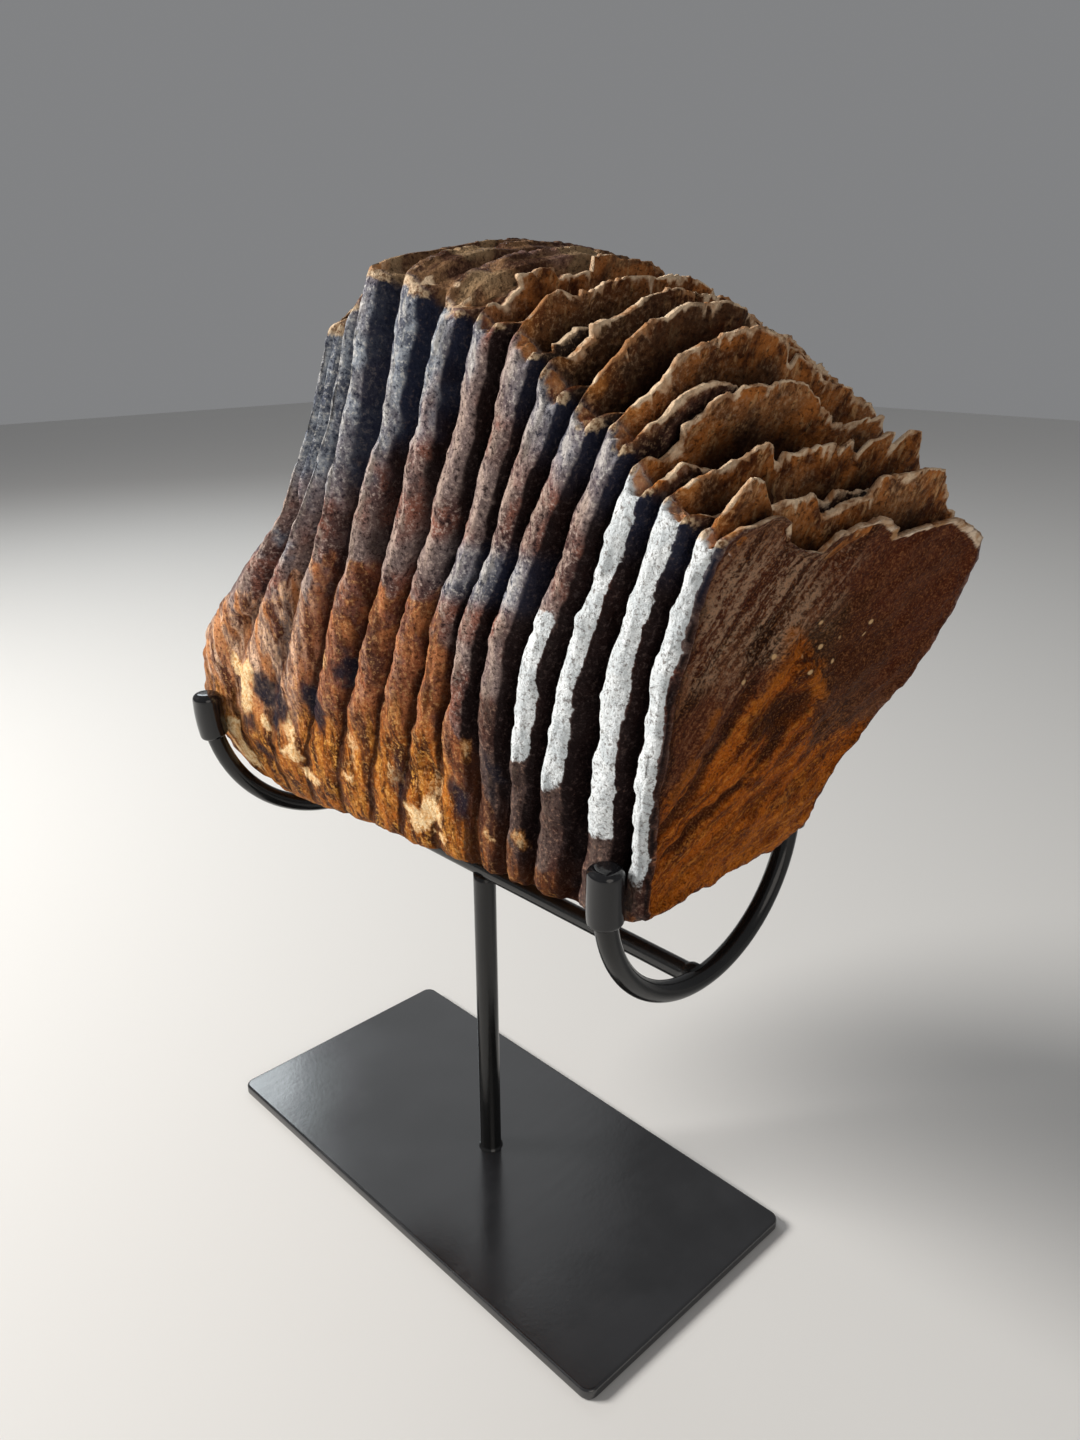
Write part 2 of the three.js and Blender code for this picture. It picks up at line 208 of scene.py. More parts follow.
def plate_x(s, z):
    """X of the near edge of section s at a height."""
    s, z = np.broadcast_arrays(np.asarray(s, float), np.asarray(z, float))
    i = np.clip(np.floor(s).astype(int), 0, PLATES - 2)
    f = s - i
    k = np.clip(np.searchsorted(LEVELS, z) - 1, 0, len(LEVELS) - 2)
    g = np.clip((z - LEVELS[k]) / (LEVELS[k + 1] - LEVELS[k]), -0.5, 1)
    return looked_up(PLATE_X, i, f, k, g)


def face_y(x, z, far):
    """Y of the tooth's near or far face at a place along it and a height."""
    heel = np.interp(z, HEEL_Z, HEEL_FAR if far else HEEL_NEAR)
    front = np.interp(z, FRONT_Z, FRONT_FAR if far else FRONT_NEAR)
    return heel + (front - heel) * np.clip((x - HEEL_X) / TOOTH_LENGTH, 0, 1)


def wall_height(table, s, y):
    """Height from a table of walls at section s and a place across the breadth."""
    s, y = np.broadcast_arrays(np.asarray(s, float), np.asarray(y, float))
    i = np.clip(np.floor(s).astype(int), 0, PLATES - 2)
    j = np.clip(np.searchsorted(WALL_Y, y) - 1, 0, len(WALL_Y) - 2)
    f = np.clip(s - i, 0, 1)
    g = np.clip((y - WALL_Y[j]) / (WALL_Y[j + 1] - WALL_Y[j]), 0, 1)
    return looked_up(table, i, f, j, g)


# ---------------- rows and columns of the molar's skin
COLUMNS = (230, 240, 150, 60)                 # on the near side, the top, the far side and the sole
TURNS = (0, 230, 470, 620)                    # the column at each corner
CORNER_WIDTHS = (7, 9, 9, 7)                  # columns on each side of a corner that are rounded off
CORNER_ROUNDS = 22
# Rows on a ridge's flank: distance from the plate's middle, and share of the groove's depth.
FLANK_ROWS = [
    (0.5, 1.0), (0.47, 1.0), (0.44, 0.96), (0.415, 0.87), (0.395, 0.73), (0.382, 0.58), (0.372, 0.43),
    (0.362, 0.29), (0.352, 0.16), (0.34, 0.06), (0.325, 0.0),
]
# Rows down a pocket's wall: distance from the plate's edge, and share of the pocket's depth.
POCKET_ROWS = [
    (0.0, 0.0), (0.012, 0.07), (0.022, 0.18), (0.032, 0.32), (0.045, 0.5), (0.06, 0.68), (0.09, 0.86),
    (0.13, 0.96), (0.2, 1.0),
]
# How far the rows of each end have closed in on its middle.
HEEL_INSETS = 0.97 * (1 - np.linspace(0, 0.93, 30)) ** 1.8
FRONT_INSETS = 0.004 + 0.966 * np.linspace(0, 1, 46) ** 1.35
HEEL_ROWS_OVERLAP, FRONT_ROWS_OVERLAP = 7, 9  # flank rows that an end takes the place of
ROW_FIELDS = ("plate", "offset", "wall", "groove", "pocket", "inset", "heel", "front")


def plate_rows(plate):
    """Rows over one plate: a flank, the left wall and pocket, the right wall, the other flank."""
    rows = [(plate, -a, 0, g, 0) for a, g in FLANK_ROWS]
    rows += [(plate, -EDGE, 0.5, 0, 0)]
    rows += [(plate, -EDGE + a, 1, 0, p) for a, p in POCKET_ROWS]
    rows += [(plate, 0, 0, 0, 1)]
    rows += [(plate, EDGE - a, -1, 0, p) for a, p in reversed(POCKET_ROWS)]
    rows += [(plate, EDGE, -0.5, 0, 0)]
    rows += [(plate, a, 0, g, 0) for a, g in reversed(FLANK_ROWS[1:])]
    if plate == 0:
        rows = rows[HEEL_ROWS_OVERLAP:]
    if plate == PLATES - 1:
        rows = rows[:-FRONT_ROWS_OVERLAP]
    return [(*row, 0, 0, 0) for row in rows]


def row_table():
    """The fields of every row, as columns of numbers: where it is and what it belongs to."""
    domed = -0.385 - 0.07 * (1 - (1 - HEEL_INSETS) ** 12) - 0.06 * (1 - (1 - HEEL_INSETS) ** 3)
    rows = [(0, a, 0, 0, 0, inset, 1, 0) for inset, a in zip(HEEL_INSETS, domed)]
    for plate in range(PLATES):
        rows += plate_rows(plate)
    rows += [(PLATES - 1, EDGE + 0.02, 0, 0, 0, inset, 0, 1) for inset in FRONT_INSETS]
    return SimpleNamespace(**dict(zip(ROW_FIELDS, np.array(rows, float).T[:, :, None])))


def edge_y(s, z, far):
    return face_y(plate_x(s, z), z, far)


def outline(s):
    """Y and Z round each section with sharp corners, and the heights of its sole and near tip."""
    tip = wall_height(CREST, s, WALL_Y[0])
    far_tip = wall_height(CREST, s, WALL_Y[-1])
    sole = np.interp(plate_x(s, SOLE_LEVEL), SOLE_X, SOLE_Z)
    near, over, far, under = (np.linspace(0, 1, n, endpoint=False)[None, :] for n in COLUMNS)
    z_near = sole + (tip - sole) * near
    y_top = edge_y(s, tip, False) + (edge_y(s, far_tip, True) - edge_y(s, tip, False)) * over
    z_far = far_tip + (sole - far_tip) * far
    y_sole = edge_y(s, sole, True) + (edge_y(s, sole, False) - edge_y(s, sole, True)) * under
    z_sole = sole - 2.5 * np.sin(np.pi * under) * smooth(s, 12.3, 11)
    y = np.concatenate([edge_y(s, z_near, False), y_top, edge_y(s, z_far, True), y_sole], 1)
    z = np.concatenate([z_near, wall_height(CREST, s, y_top), z_far, z_sole], 1)
    return y, z, sole, tip


def rounded_corners(y, z):
    """The sections with their four corners rounded off by repeated averaging."""
    count = y.shape[1]
    corner = np.zeros(count)
    for turn, width in zip(TURNS, CORNER_WIDTHS):
        gap = np.abs((np.arange(count) - turn + count / 2) % count - count / 2)
        corner = np.maximum(corner, smooth(gap, 2 * width, width))
    for _ in range(CORNER_ROUNDS):
        y = y + corner * 0.5 * ((np.roll(y, 1, 1) + np.roll(y, -1, 1)) / 2 - y)
        z = z + corner * 0.5 * ((np.roll(z, 1, 1) + np.roll(z, -1, 1)) / 2 - z)
    return y, z


def column_masks():
    """How much each column belongs to these parts of the section."""
    column = np.arange(sum(COLUMNS))[None, :]
    after_near = column - TURNS[1]
    before_far = TURNS[2] - column
    return {
        "top": smooth(after_near, -2, 14) * smooth(before_far, -2, 14),
        "opened": smooth(after_near, 0.5, 5) * smooth(before_far, 3, 7.5),
        "ring": smooth(after_near, -2, 1) * smooth(before_far, 0, 3),
        "notch": smooth(after_near, -6, 0) * smooth(after_near, 11, 5),
        "below": smooth(column - TURNS[3], -2, 8),
    }


def sections():
    """Everything that is known of each row and column before the skin gets its relief."""
    skin = row_table()
    skin.s = skin.plate + skin.offset
    y, z, skin.sole, skin.tip = outline(skin.s)
    skin.y, skin.z = rounded_corners(y, z)
    vars(skin).update(column_masks())
    skin.gap = np.floor(skin.s + 0.5)
    skin.side = np.sign(skin.offset)
    skin.wall_id = skin.plate * 2 + (skin.offset > 0)
    skin.last = (skin.plate == PLATES - 1) & (skin.offset > 0)
    # the ridges flatten towards the sole, and the plates at the heel merge above
    skin.flat = smooth(skin.plate, 8, 6.5) * smooth(skin.z, 212, 176)
    skin.merged = smooth(np.abs(skin.s - 0.5), 0.85, 0.6) * smooth(skin.z, 240, 262)
    return skin


# ---------------- the molar's relief
def place_across(skin):
    """Each row's place across its plate and the ridge edge's place, as shares of the plate spacing."""
    plate, offset, z = skin.plate, skin.offset, skin.z
    spacing = np.maximum(plate_x(plate + 0.5, z) - plate_x(plate - 0.5, z), 6)
    # ridges swell and narrow along their height, and are slimmer above on the oldest plates
    slim = 1 - 0.34 * smooth(plate, 6.5, 3) * smooth(z, 215, 250)
    lumps = (0.1 - 0.05 * skin.flat) * noise(z / 13, plate * 5.3, skin.side * 2.7)
    swell = slim - 1 + 0.28 * skin.flat + lumps
    swell = 1 + swell * (1 - skin.top) * smooth(skin.inset, 0.12, 0)
    swell = swell * np.where(skin.last, 0.62, 1)
    edge = EDGE * swell
    beyond = edge + (np.abs(offset) - EDGE) * (0.5 - edge) / (0.5 - EDGE)
    across = np.where(np.abs(offset) <= EDGE, offset * swell, skin.side * beyond)
    return across + skin.wall * np.minimum(WALL / spacing, 0.15), edge


def groove_depth(skin):
    """Depth between the ridges: cut deep towards the front, shallow at the heel and near the sole."""
    y, z, gap = skin.y, skin.z, skin.gap
    right = smooth(gap, 7.5, 9.5)
    side = 2.0 + 3.6 * right + (6.0 - 2.0 * right) * smooth(z, 172 - 8 * right, 240 - 44 * right)
    side *= 1 + 0.25 * coarse(z / 24, gap * 3.7, 1.5)
    side *= 1 - 0.5 * smooth(gap, 8, 6.5) * smooth(z, 205, 172)
    side *= 1 - 0.95 * skin.merged
    side *= 1 - smooth(gap, 2.6, 1.4) * (0.35 - 0.35 * smooth(z, 230, 262))
    # the heel end of the crown is worn nearly shut
    worn = smooth(gap, 5.4, 4.2)
    above = (TOP_GROOVE + 5 * coarse(y / 17, gap * 2.3, 4.0)) * (1 - 0.92 * worn)
    return (side * (1 - skin.top) + above * skin.top) * (1 - skin.below) + SOLE_GROOVE * skin.below


def pocket_depth(skin):
    """Depth of the open plates' pockets, with the slot through their near tips."""
    plate = skin.plate
    pocket = POCKET + 5 * coarse(skin.y / 13, plate * 4.1, 8.0)
    pocket = pocket * skin.opened * (1 - 0.9 * smooth(plate, 5, 4))
    slot = (SLOT + noise(skin.y / 3, skin.z / 3, plate)) * skin.notch * smooth(plate, 3.5, 5)
    return np.maximum(pocket, slot * (1 - skin.opened))


def crest_fall(skin, across, edge):
    """How far a ridge falls back towards its edges, with dents along its height."""
    fall = ROUND * (across / np.maximum(edge, 0.1)) ** 2
    fall = fall * (1 - skin.top) * (1 - 0.7 * skin.below) * (1 - 0.6 * skin.flat)
    fall = fall * smooth(skin.inset, 0.3, 0)
    return fall + 0.55 * coarse(skin.z / 8, skin.plate * 3.3, skin.side) * (1 - skin.top) * (1 - skin.below)


def broken_rim(skin):
    """How far each wall's ragged rim stands below the crest line."""
    y, wall_id = skin.y, skin.wall_id
    left = wall_height(CREST - LEFT_WALL, skin.plate, y)
    right = wall_height(CREST - RIGHT_WALL, skin.plate, y)
    rim = np.where(skin.offset <= 0, left, right) - 1
    ruin = np.where(skin.plate < 4.5, 0.4, np.where(skin.last, 0.3, 1.0))
    teeth = 1.3 * np.abs(noise(y / 4.2, wall_id * 3.1, 0.5))
    teeth = teeth + 2.2 * np.maximum(0, noise(y / 9.5, wall_id * 1.7, 6.5))
    rim = rim + ruin * teeth
    rim = rim + ruin * 3.5 * smooth(coarse(y / 6.5, wall_id * 6.1, 2), 0.45, 0.7)
    rim = rim + np.abs(fine(y / 1.9, wall_id * 2.9, 3.5))
    rim = rim + 0.6 * np.abs(noise(y / 0.9, wall_id * 4.3, 1.5))
    return np.maximum(rim, 0) * skin.top * (1 - skin.heel)


def relief_depth(skin, across, edge, rim):
    """How deep every point lies under the plain section."""
    # the second plate only comes to the surface lower down
    young = smooth(np.abs(skin.plate - 1), 0.5, 0) * smooth(skin.z, 252, 274)
    young = young * (1 - skin.top) * smooth(skin.y, 0, -20) * (1 - skin.below)
    depth = skin.groove * groove_depth(skin) + skin.pocket * pocket_depth(skin)
    depth = np.maximum(depth, young * YOUNG)
    depth = np.where(skin.pocket > 0.99, depth, np.maximum(depth, rim))
    return depth + crest_fall(skin, across, edge) * (1 - skin.groove)


def pressed_in(skin, depth):
    """Y and Z moved inwards by the depth, towards an upright line in the middle of the tooth."""
    y, z = skin.y, skin.z
    low = skin.sole + 36
    high = np.maximum(wall_height(CREST, skin.s, 0) - 46, skin.sole + 44)
    dy = 1 - y
    dz = np.clip(z, low, high) - z
    share = skin.inset + (1 - skin.inset) * np.clip(depth / np.hypot(dy, dz), -0.1, 0.97)
    return y + dy * share, z + dz * share


def wander(plate, z):
    """How far a plate strays along X at a height."""
    stray = 1.3 * noise(z / 19, plate * 7.3, 2.5) + 0.5 * noise(z / 8.5, plate * 3.1, 9.5)
    return stray * smooth(z, 150, 185)


def lengthwise(skin, across, y, z):
    """X of every point: the plates wander along their height, and the walls wave across the breadth."""
    s = skin.plate + across
    this = np.floor(s)
    x = plate_x(s, z) + wander(this, z) * (1 - s + this) + wander(this + 1, z) * (s - this)
    wave = 1.1 * noise(y / 10, skin.wall_id * 2.2, z / 60) + 0.6 * noise(y / 4.1, skin.wall_id * 4.9, z / 40)
    wave = wave * skin.top * (1 - 0.6 * skin.groove) * (1 - 0.8 * skin.pocket) * (1 - skin.heel)
    x = x + wave * (1 - smooth(skin.inset, 0, 0.1))
    return x + np.interp(z, TWIST_Z, TWIST) * (y - face_y(x, z, False))


def front_relief(skin, y, z):
    """The cleaved front face: ribs that fan out, a knotted surface below, and the marks drawn on it."""
    over, reach = fan(y, z)
    ribs = 0.6 * noise(over / 4.6, reach / 70, 1.1) + 0.38 * noise(over / 1.9, reach / 34, 5.1)
    knots = 0.9 * coarse(y / 11, z / 11, 3.3) + 0.5 * noise(y / 4.5, z / 4.5, 7.7)
    lowness = smooth(z, 236, 205)
    relief = ribs * (1 - 0.6 * lowness) * smooth(skin.inset, 0.0, 0.15) + knots * (0.25 + 0.6 * lowness)
    relief = relief + 1.5 * coarse(y / 30, z / 34, 6.1)
    bands = 0.8 * strokes(DARK_BANDS[:2], y, z, 0)
    relief += 0.9 * strokes(SEAMS, y, z, 0) - bands - 1.5 * strokes(GROOVE, y, z, 0)
    pit = np.exp(-((y + 1) / 6) ** 2 - ((z - 214) / 5.5) ** 2)
    return skin.front * smooth(skin.inset, 0.004, 0.06) * (relief - 2.6 * pit - 1)


def heel_seams(skin, y, z):
    """1 in the narrow seams between the heel's upright finger-like columns."""
    finger = (y + 4 * coarse(z / 34, y / 40, 2.2) + 0.10 * (z - 200) * y / 46) / 12.5 + 0.35
    seam = smooth(np.abs(finger - np.round(finger)), 0.26, 0.06) * smooth(z, 300, 262) * skin.heel
    broken = 0.45 + 0.55 * smooth(noise(y / 11, z / 26, 4.4), -0.5, 0.2)
    return seam * smooth(skin.inset, 0.08, 0.2) * broken


def heel_lumps(y, z):
    lumps = 1.7 * coarse(y / 15, z / 42, 5.2) + 1.1 * noise(y / 7, z / 12, 8.8)
    return lumps + 0.4 * fine(y / 2.6, z / 4.5, 1.8)


def molar_skin():
    """Grid of points over the molar, and the fields that its colours are placed by."""
    skin = sections()
    across, edge = place_across(skin)
    rim = broken_rim(skin)
    depth = relief_depth(skin, across, edge, rim)
    y, z = pressed_in(skin, depth)
    x = lengthwise(skin, across, y, z) + front_relief(skin, y, z)
    x = x + skin.heel * np.interp(z, HEEL_PUSH_Z, HEEL_PUSH)
    seam = heel_seams(skin, y, z)
    x = x + skin.heel * smooth(skin.inset, 0.0, 0.07) * heel_lumps(y, z) + 2.4 * seam
    closed = 1 - skin.heel * smooth(skin.inset + 0.02 * noise(y / 5, z / 7, 3.9), 0.0, 0.1)
    fields = {
        "s": skin.plate + across, "groove": np.maximum(skin.groove, seam), "pocket": skin.pocket,
        "top": skin.top * closed, "opened": skin.opened * closed, "ring": skin.ring * closed,
        "across": across * closed, "edge": edge, "notch": skin.notch * skin.pocket, "merged": skin.merged,
        "drop": depth - rim, "under_tip": skin.tip - z, "face": skin.front * smooth(skin.inset, 0.0, 0.012),
        "rind": skin.front * smooth(skin.inset, 0.05, 0.02) * skin.top,
        "heel": skin.heel * smooth(skin.inset, 0.0, 0.03),
    }
    return np.stack([x, y, z], 2), {name: np.broadcast_to(f, z.shape).ravel() for name, f in fields.items()}


# ---------------- where each colour of the fossil shows
# One value for each plate. CREST_SHARE says how much of a ridge's crest keeps its own colour before the
# painted shade on its flank starts on its right. The others are heights; OVER is above the tooth.
OVER = 400
CREST_SHARE = np.array([0.95, 0.95, 0.93, 0.93, 0.93, 0.93, 0.9, 0.85, 0.72, 0.68, 0.68, 0.68, 0.72])
BLUE_LOW = np.array([258, 258, 262, 270, 284, 293] + [OVER] * 7)
RUST_Z = np.array([222, 226, 232, 236, 237, 236, 229, 206, 176, 166, 163, 160, 158.0])
GOLD_Z = np.array([186, 188, 190, 192, 196, 200, 202, 190, 164, 160, 158, 156, 154.0])
CHALK_LOW = np.array([OVER] * 8 + [300, 197, 191, 180, 171])
CHALK_HIGH = np.array([OVER] * 8 + [301, 239, OVER, OVER, OVER])
# Spots low on the near face: X, Z, half width, half height and strength.
CREAM_SPOTS = [
    (-71, 193, 3, 4.5, 1), (-62, 194.5, 3, 4, 1), (-68, 187, 4.5, 7, 1), (-70.5, 180, 3, 4, 1),
    (-59.5, 174, 4, 2.6, 0.9), (-45, 175, 3, 9, 1), (-48, 166, 5, 3, 1), (-39.5, 160.5, 6.5, 3, 1),
    (-83, 166, 3.5, 5, 1), (-82, 158, 4, 4.5, 1), (-77, 153, 4, 2.6, 0.9), (-34.7, 197, 1.6, 8, 0.5),
    (-15.5, 168, 2.6, 2.6, 0.8), (-12, 180, 2.6, 5, 0.5), (14, 163.5, 3, 3.6, 1), (24, 167.5, 3.8, 4.6, 1),
    (25, 159.5, 3.6, 2, 0.9), (25, 177, 4, 4, 0.4), (-18, 209, 1.5, 3, 0.5), (-5, 221, 1.5, 7, 0.35),
    (42, 194, 1.5, 4, 0.4), (-74, 205, 1.5, 7, 0.4), (48, 170, 2.4, 2.8, 0.7), (60, 172, 2, 2.2, 0.5),
    (8, 175, 1.5, 6, 0.5),
]
INK_SPOTS = [
    (-54, 188, 8, 10, 1), (-27, 191, 5, 9.5, 0.95), (-11, 205, 4, 6, 0.85), (-69, 173, 5.5, 4, 0.75),
    (-67, 162, 7, 3, 0.75), (36, 176, 4, 7, 0.8), (9, 174, 2.6, 7, 0.6), (50, 190, 3, 8, 0.7),
]
# Height of the border between umber and amber at these places across the front face.
AMBER_Y = [-40, -26, -14, -8, 0, 8, 14, 34, 50]
AMBER_Z = [188, 206, 226, 235, 231, 221, 209, 199, 202]


def by_plate(table, s):
    """A value that is given for each plate, at section s."""
    return np.interp(s, np.arange(PLATES), table)


def surveyed(points, fields):
    """The fields with what several colours have to know of each vertex."""
    at = SimpleNamespace(**fields)
    at.x, at.y, at.z = points.T
    at.ragged = noise(at.x / 6, at.y / 6, at.z / 8) + 0.6 * noise(at.x / 2.2, at.y / 2.2, at.z / 3)
    at.near = smooth(at.y, 8, -12)
    at.closed = 1 - at.opened
    at.deep = smooth(at.groove, 0.3, 0.85)
    at.strayed = at.across + 0.03 * at.ragged
    wider = 1 + 0.16 * smooth(at.z, 282, 250) * smooth(at.s, 7.5, 6)
    at.reach = by_plate(CREST_SHARE, at.s) * at.edge * wider
    return at


def shade_mask(at):
    """Painted shade on the flanks of the ridges and in the grooves between them; on the near side it reaches
    onto the right flank, away from the key lamp.
    """
    across, reach = at.strayed, at.reach
    flank = smooth(across, reach - 0.05, reach + 0.05) + smooth(across, -0.26, -0.36)
    last = smooth(across, -0.2, -0.32) + 0.85 * smooth(across, reach - 0.02, reach + 0.05)
    flank = np.where(at.s > 11.9, last, flank)
    flank = at.near * flank + (1 - at.near) * smooth(np.abs(across), 0.24, 0.33)
    soft = 1 - 0.4 * smooth(at.s, 6.5, 4.5) * smooth(at.z, 292, 255)
    return np.maximum(at.deep, flank * (1 - at.top) * soft) * (1 - at.face) * (1 - at.merged)


def chalk_mask(at):
    """The chalk white crests towards the front."""
    plate = np.clip(np.round(at.s), 0, PLATES - 1).astype(int)
    low = CHALK_LOW[plate] + 2.5 * at.ragged
    high = CHALK_HIGH[plate] + 3 * at.ragged
    chalk = smooth(at.z, low - 5, low + 8) * smooth(at.z, high + 7, high - 6) * smooth(at.groove, 0.3, 0.1)
    chalk = chalk * (1 - smooth(at.strayed, at.reach - 0.03, at.reach + 0.03))
    chalk = chalk * (1 - smooth(-at.strayed, 0.3, 0.36))
    return chalk * at.closed * at.near * (1 - at.face)


def blue_mask(at):
    """Slate blue above on the oldest plates, at the tips of the others, and in a band and a patch."""
    low = by_plate(BLUE_LOW, at.s) + 7 * at.ragged
    upper = smooth(at.z, low - 10, low + 10)
    tips = smooth(at.under_tip, 20, 8) * smooth(at.s, 5.5, 6.5)
    band = smooth(np.abs(at.z - 246), 11, 4) * smooth(np.abs(at.s - 7), 2, 1)
    patch = smooth(np.abs(at.z - 243), 9, 3) * smooth(at.s, 2.5, 1.6) * smooth(at.ragged, -0.1, 0.3)
    blue = np.maximum(np.maximum(upper, 0.8 * tips), np.maximum(0.85 * band, 0.8 * patch))
    return blue * (1 - at.face) * at.closed


def rust_masks(at):
    """Rust low on the tooth, gold in it, flames along its border, and its pale and its gloomy part."""
    s, y, z, ragged = at.s, at.y, at.z, at.ragged
    heel_border = 13 * coarse(y / 13, 3.3) + 9 * noise(y / 5.5, z / 30, 6.1) - 8
    rust_top = by_plate(RUST_Z, s) + at.heel * heel_border
    rust = smooth(z + ragged * np.interp(s, [2, 4], [11, 6]), rust_top + 9, rust_top - 9)
    gold_top = by_plate(GOLD_Z, s) + at.heel * 12 * coarse(y / 9, 7.7)
    flame = smooth(np.abs(z - rust_top + 9 + 5 * ragged), 15, 3)
    gloom = smooth(s, 7.0, 7.7) * smooth(z + 3 * ragged, np.interp(s, [8, 9], [232, 212]), 200)
    return {
        "rust": rust * (1 - at.top) * (1 - at.face),
        "gold": smooth(z + 8 * ragged, gold_top + 14, gold_top - 14),
        "flame": flame * smooth(s, 2.4, 3) * smooth(s, 7, 6.3),
        "pale": smooth(s, 2.6, 1.5) * smooth(z, 165, 195),
        "gloom": gloom * (1 - at.face),
    }


def blotches(spots, x, z, loose):
    """1 inside the ragged spots and 0 outside, with a wide soft border."""
    total = np.zeros_like(x)
    for cx, cz, wide, high, strength in spots:
        drift = 2.2 * noise(x / 5.2, z / 9, cz), 3.0 * noise(x / 6.1, z / 8, cx + 4)
        far = np.hypot((x - cx + drift[0]) / wide, (z - cz + drift[1]) / high)
        far = far + loose * (0.55 * noise(x / 2.6, z / 5.2, cx) + 0.4 * fine(x / 1.2, z / 2.2, cz))
        total = np.maximum(total, strength * smooth(far, 1.5, 0.35))
    return total


def near_masks(at):
    """The near side's crests, paler where worn and with a painted highlight towards their left, lit side, and
    its cream and ink spots.
    """
    on_side = at.near * (1 - at.top) * (1 - at.face)
    # paler worn crests, centred left of the middle so that they are also a painted highlight on the side
    # towards the key lamp
    crest = smooth(np.abs(at.across / at.edge + 0.25), 0.85, 0.15)
    return {
        "wear": crest * on_side * (1 - at.deep),
        "cream": blotches(CREAM_SPOTS, at.x, at.z, 1) * on_side,
        "ink": blotches(INK_SPOTS, at.x, at.z, 0.8) * on_side,
    }


def top_masks(at):
    """The broken top: rims, tips, pockets and what lies between and inside them, with painted shade deep in
    the pockets.
    """
    s, y, ragged = at.s, at.y, at.ragged
    rim = at.ring * smooth(at.drop, 0.48, 0.0) * smooth(at.groove, 0.4, 0.0) * (1 - at.face)
    hollow = smooth(at.notch, 0.15, 0.5) * smooth(s, 3.6, 4.6)
    tip = smooth(at.under_tip + 1.3 * ragged, 3.4, 1.2) * at.closed * at.near * (1 - at.face) * (1 - at.heel)
    from_middle = np.abs(at.across) / at.edge
    ember = smooth(from_middle, 1.0, 0.85) * smooth(y, -34, -42) * at.top * smooth(s, 4.4, 5)
    ember = np.maximum(ember, hollow * at.near) * smooth(at.drop + 1.2 * ragged, 8.0, 3.0)
    return {
        "rim": rim * (1 - smooth(s, 4.9, 4.4) * smooth(y, -42, -38)),
        "tip": tip * (1 - 0.85 * hollow),
        "ember": ember,
        "inside": at.opened * (1 - at.face),
        "between": smooth(from_middle, 0.98, 1.1) * smooth(s, 3.5, 5),
        # painted shade that deepens down into the open pockets
        "buried": smooth(at.drop, 2.5, 13) * at.opened,
        "old": smooth(s, 5.2, 3.8),
        "dim": smooth(s, 5.5, 6) * smooth(s, 8.7, 8.2) * smooth(y + 8 * ragged, 12, -12),
    }


def front_masks(at):
    """The areas of the cleaved front face."""
    y, z, ragged, face = at.y, at.z, at.ragged, at.face

    def oval(mid_y, mid_z, wide, high, loose):
        return np.hypot((y - mid_y) / wide, (z - mid_z) / high) + loose * ragged

    border = np.interp(y, AMBER_Y, AMBER_Z)
    knot = smooth(oval(-2, 213.5, 9, 7, 0.5), 1.5, 0.4)
    bands = 0.85 * strokes(DARK_BANDS, y, z, 1.3 * ragged)
    across_fibres, along_fibres = fan(y, z)
    return {
        "amber": face * smooth(z + 7 * ragged, border + 13, border - 17),
        "glow": face * 0.8 * smooth(z - 0.35 * y + 6 * ragged, 194, 160),
        "seam": face * strokes(SEAMS, y, z, 0.9 * ragged),
        "knot": face * np.maximum(knot, bands),
        "olive": face * smooth(oval(12, 228, 24, 17, 0.35), 1.15, 0.6),
        "flecks": face * smooth(oval(-2, 232, 26, 9, 0), 1.1, 0.8),
        "silver": face * smooth(oval(-22, 246, 24, 24, 0.3), 1.2, 0.5),
        "calm": face * smooth(y + 5 * ragged, -4, 16) * smooth(z, 200, 224),
        "rind": at.rind * (0.3 + 0.7 * smooth(y + 3 * ragged, -12, 4)),
        "fan": across_fibres,
        "reach": along_fibres,
    }


def stain_masks(points, fields):
    """Where each colour of the fossil shows, from 0 to 1 on every vertex."""
    at = surveyed(points, fields)
    masks = {"face": at.face, "heel": at.heel}
    masks.update({"shade": shade_mask(at), "chalk": chalk_mask(at), "blue": blue_mask(at)})
    for group in (rust_masks, near_masks, top_masks, front_masks):
        masks.update(group(at))
    return masks


# ---------------- the molar's mesh
MOLAR_TRIANGLES = 194000


def grain(points, normals, weight):
    """The points with a pebbly surface raised along the normals."""
    x, y, z = points.T
    bumps = 0.34 * noise(x / 3.1, y / 3.1, z / 3.6)
    bumps += 0.26 * coarse(x / 6.5, y / 6.5, z / 8.5)
    bumps += 0.17 * fine(x / 1.5, y / 1.5, z / 1.7)
    return points + normals * (bumps * weight)[:, None]


def grid_normals(grid):
    down = np.roll(grid, -1, 1) - np.roll(grid, 1, 1)
    along = np.empty_like(grid)
    along[1:-1] = grid[2:] - grid[:-2]
    along[0], along[-1] = grid[1] - grid[0], grid[-1] - grid[-2]
    normals = np.cross(along, down)
    normals /= np.linalg.norm(normals, axis=2, keepdims=True) + 1e-9
    return normals.reshape(-1, 3)


def zipped(row, heights):
    """Triangles that close the narrow slit left in the middle of an end of the tooth."""
    count = len(heights)
    mid_top = TURNS[1] + COLUMNS[1] // 2
    mid_sole = count - COLUMNS[3] // 2
    near = [c % count for c in range(mid_sole, count + mid_top + 1)]
    far = list(range(mid_sole, mid_top - 1, -1))
    faces = []
    i, j = 0, 0
    while i < len(near) - 1 or j < len(far) - 1:
        up_near = heights[near[i + 1]] if i < len(near) - 1 else np.inf
        up_far = heights[far[j + 1]] if j < len(far) - 1 else np.inf
        if up_near <= up_far:
            faces.append((near[i], near[i + 1], far[j]))
            i += 1
        else:
            faces.append((near[i], far[j + 1], far[j]))
            j += 1
    faces = [f for f in faces if len(set(f)) == 3]
    return [tuple(row * count + c for c in f) for f in faces]


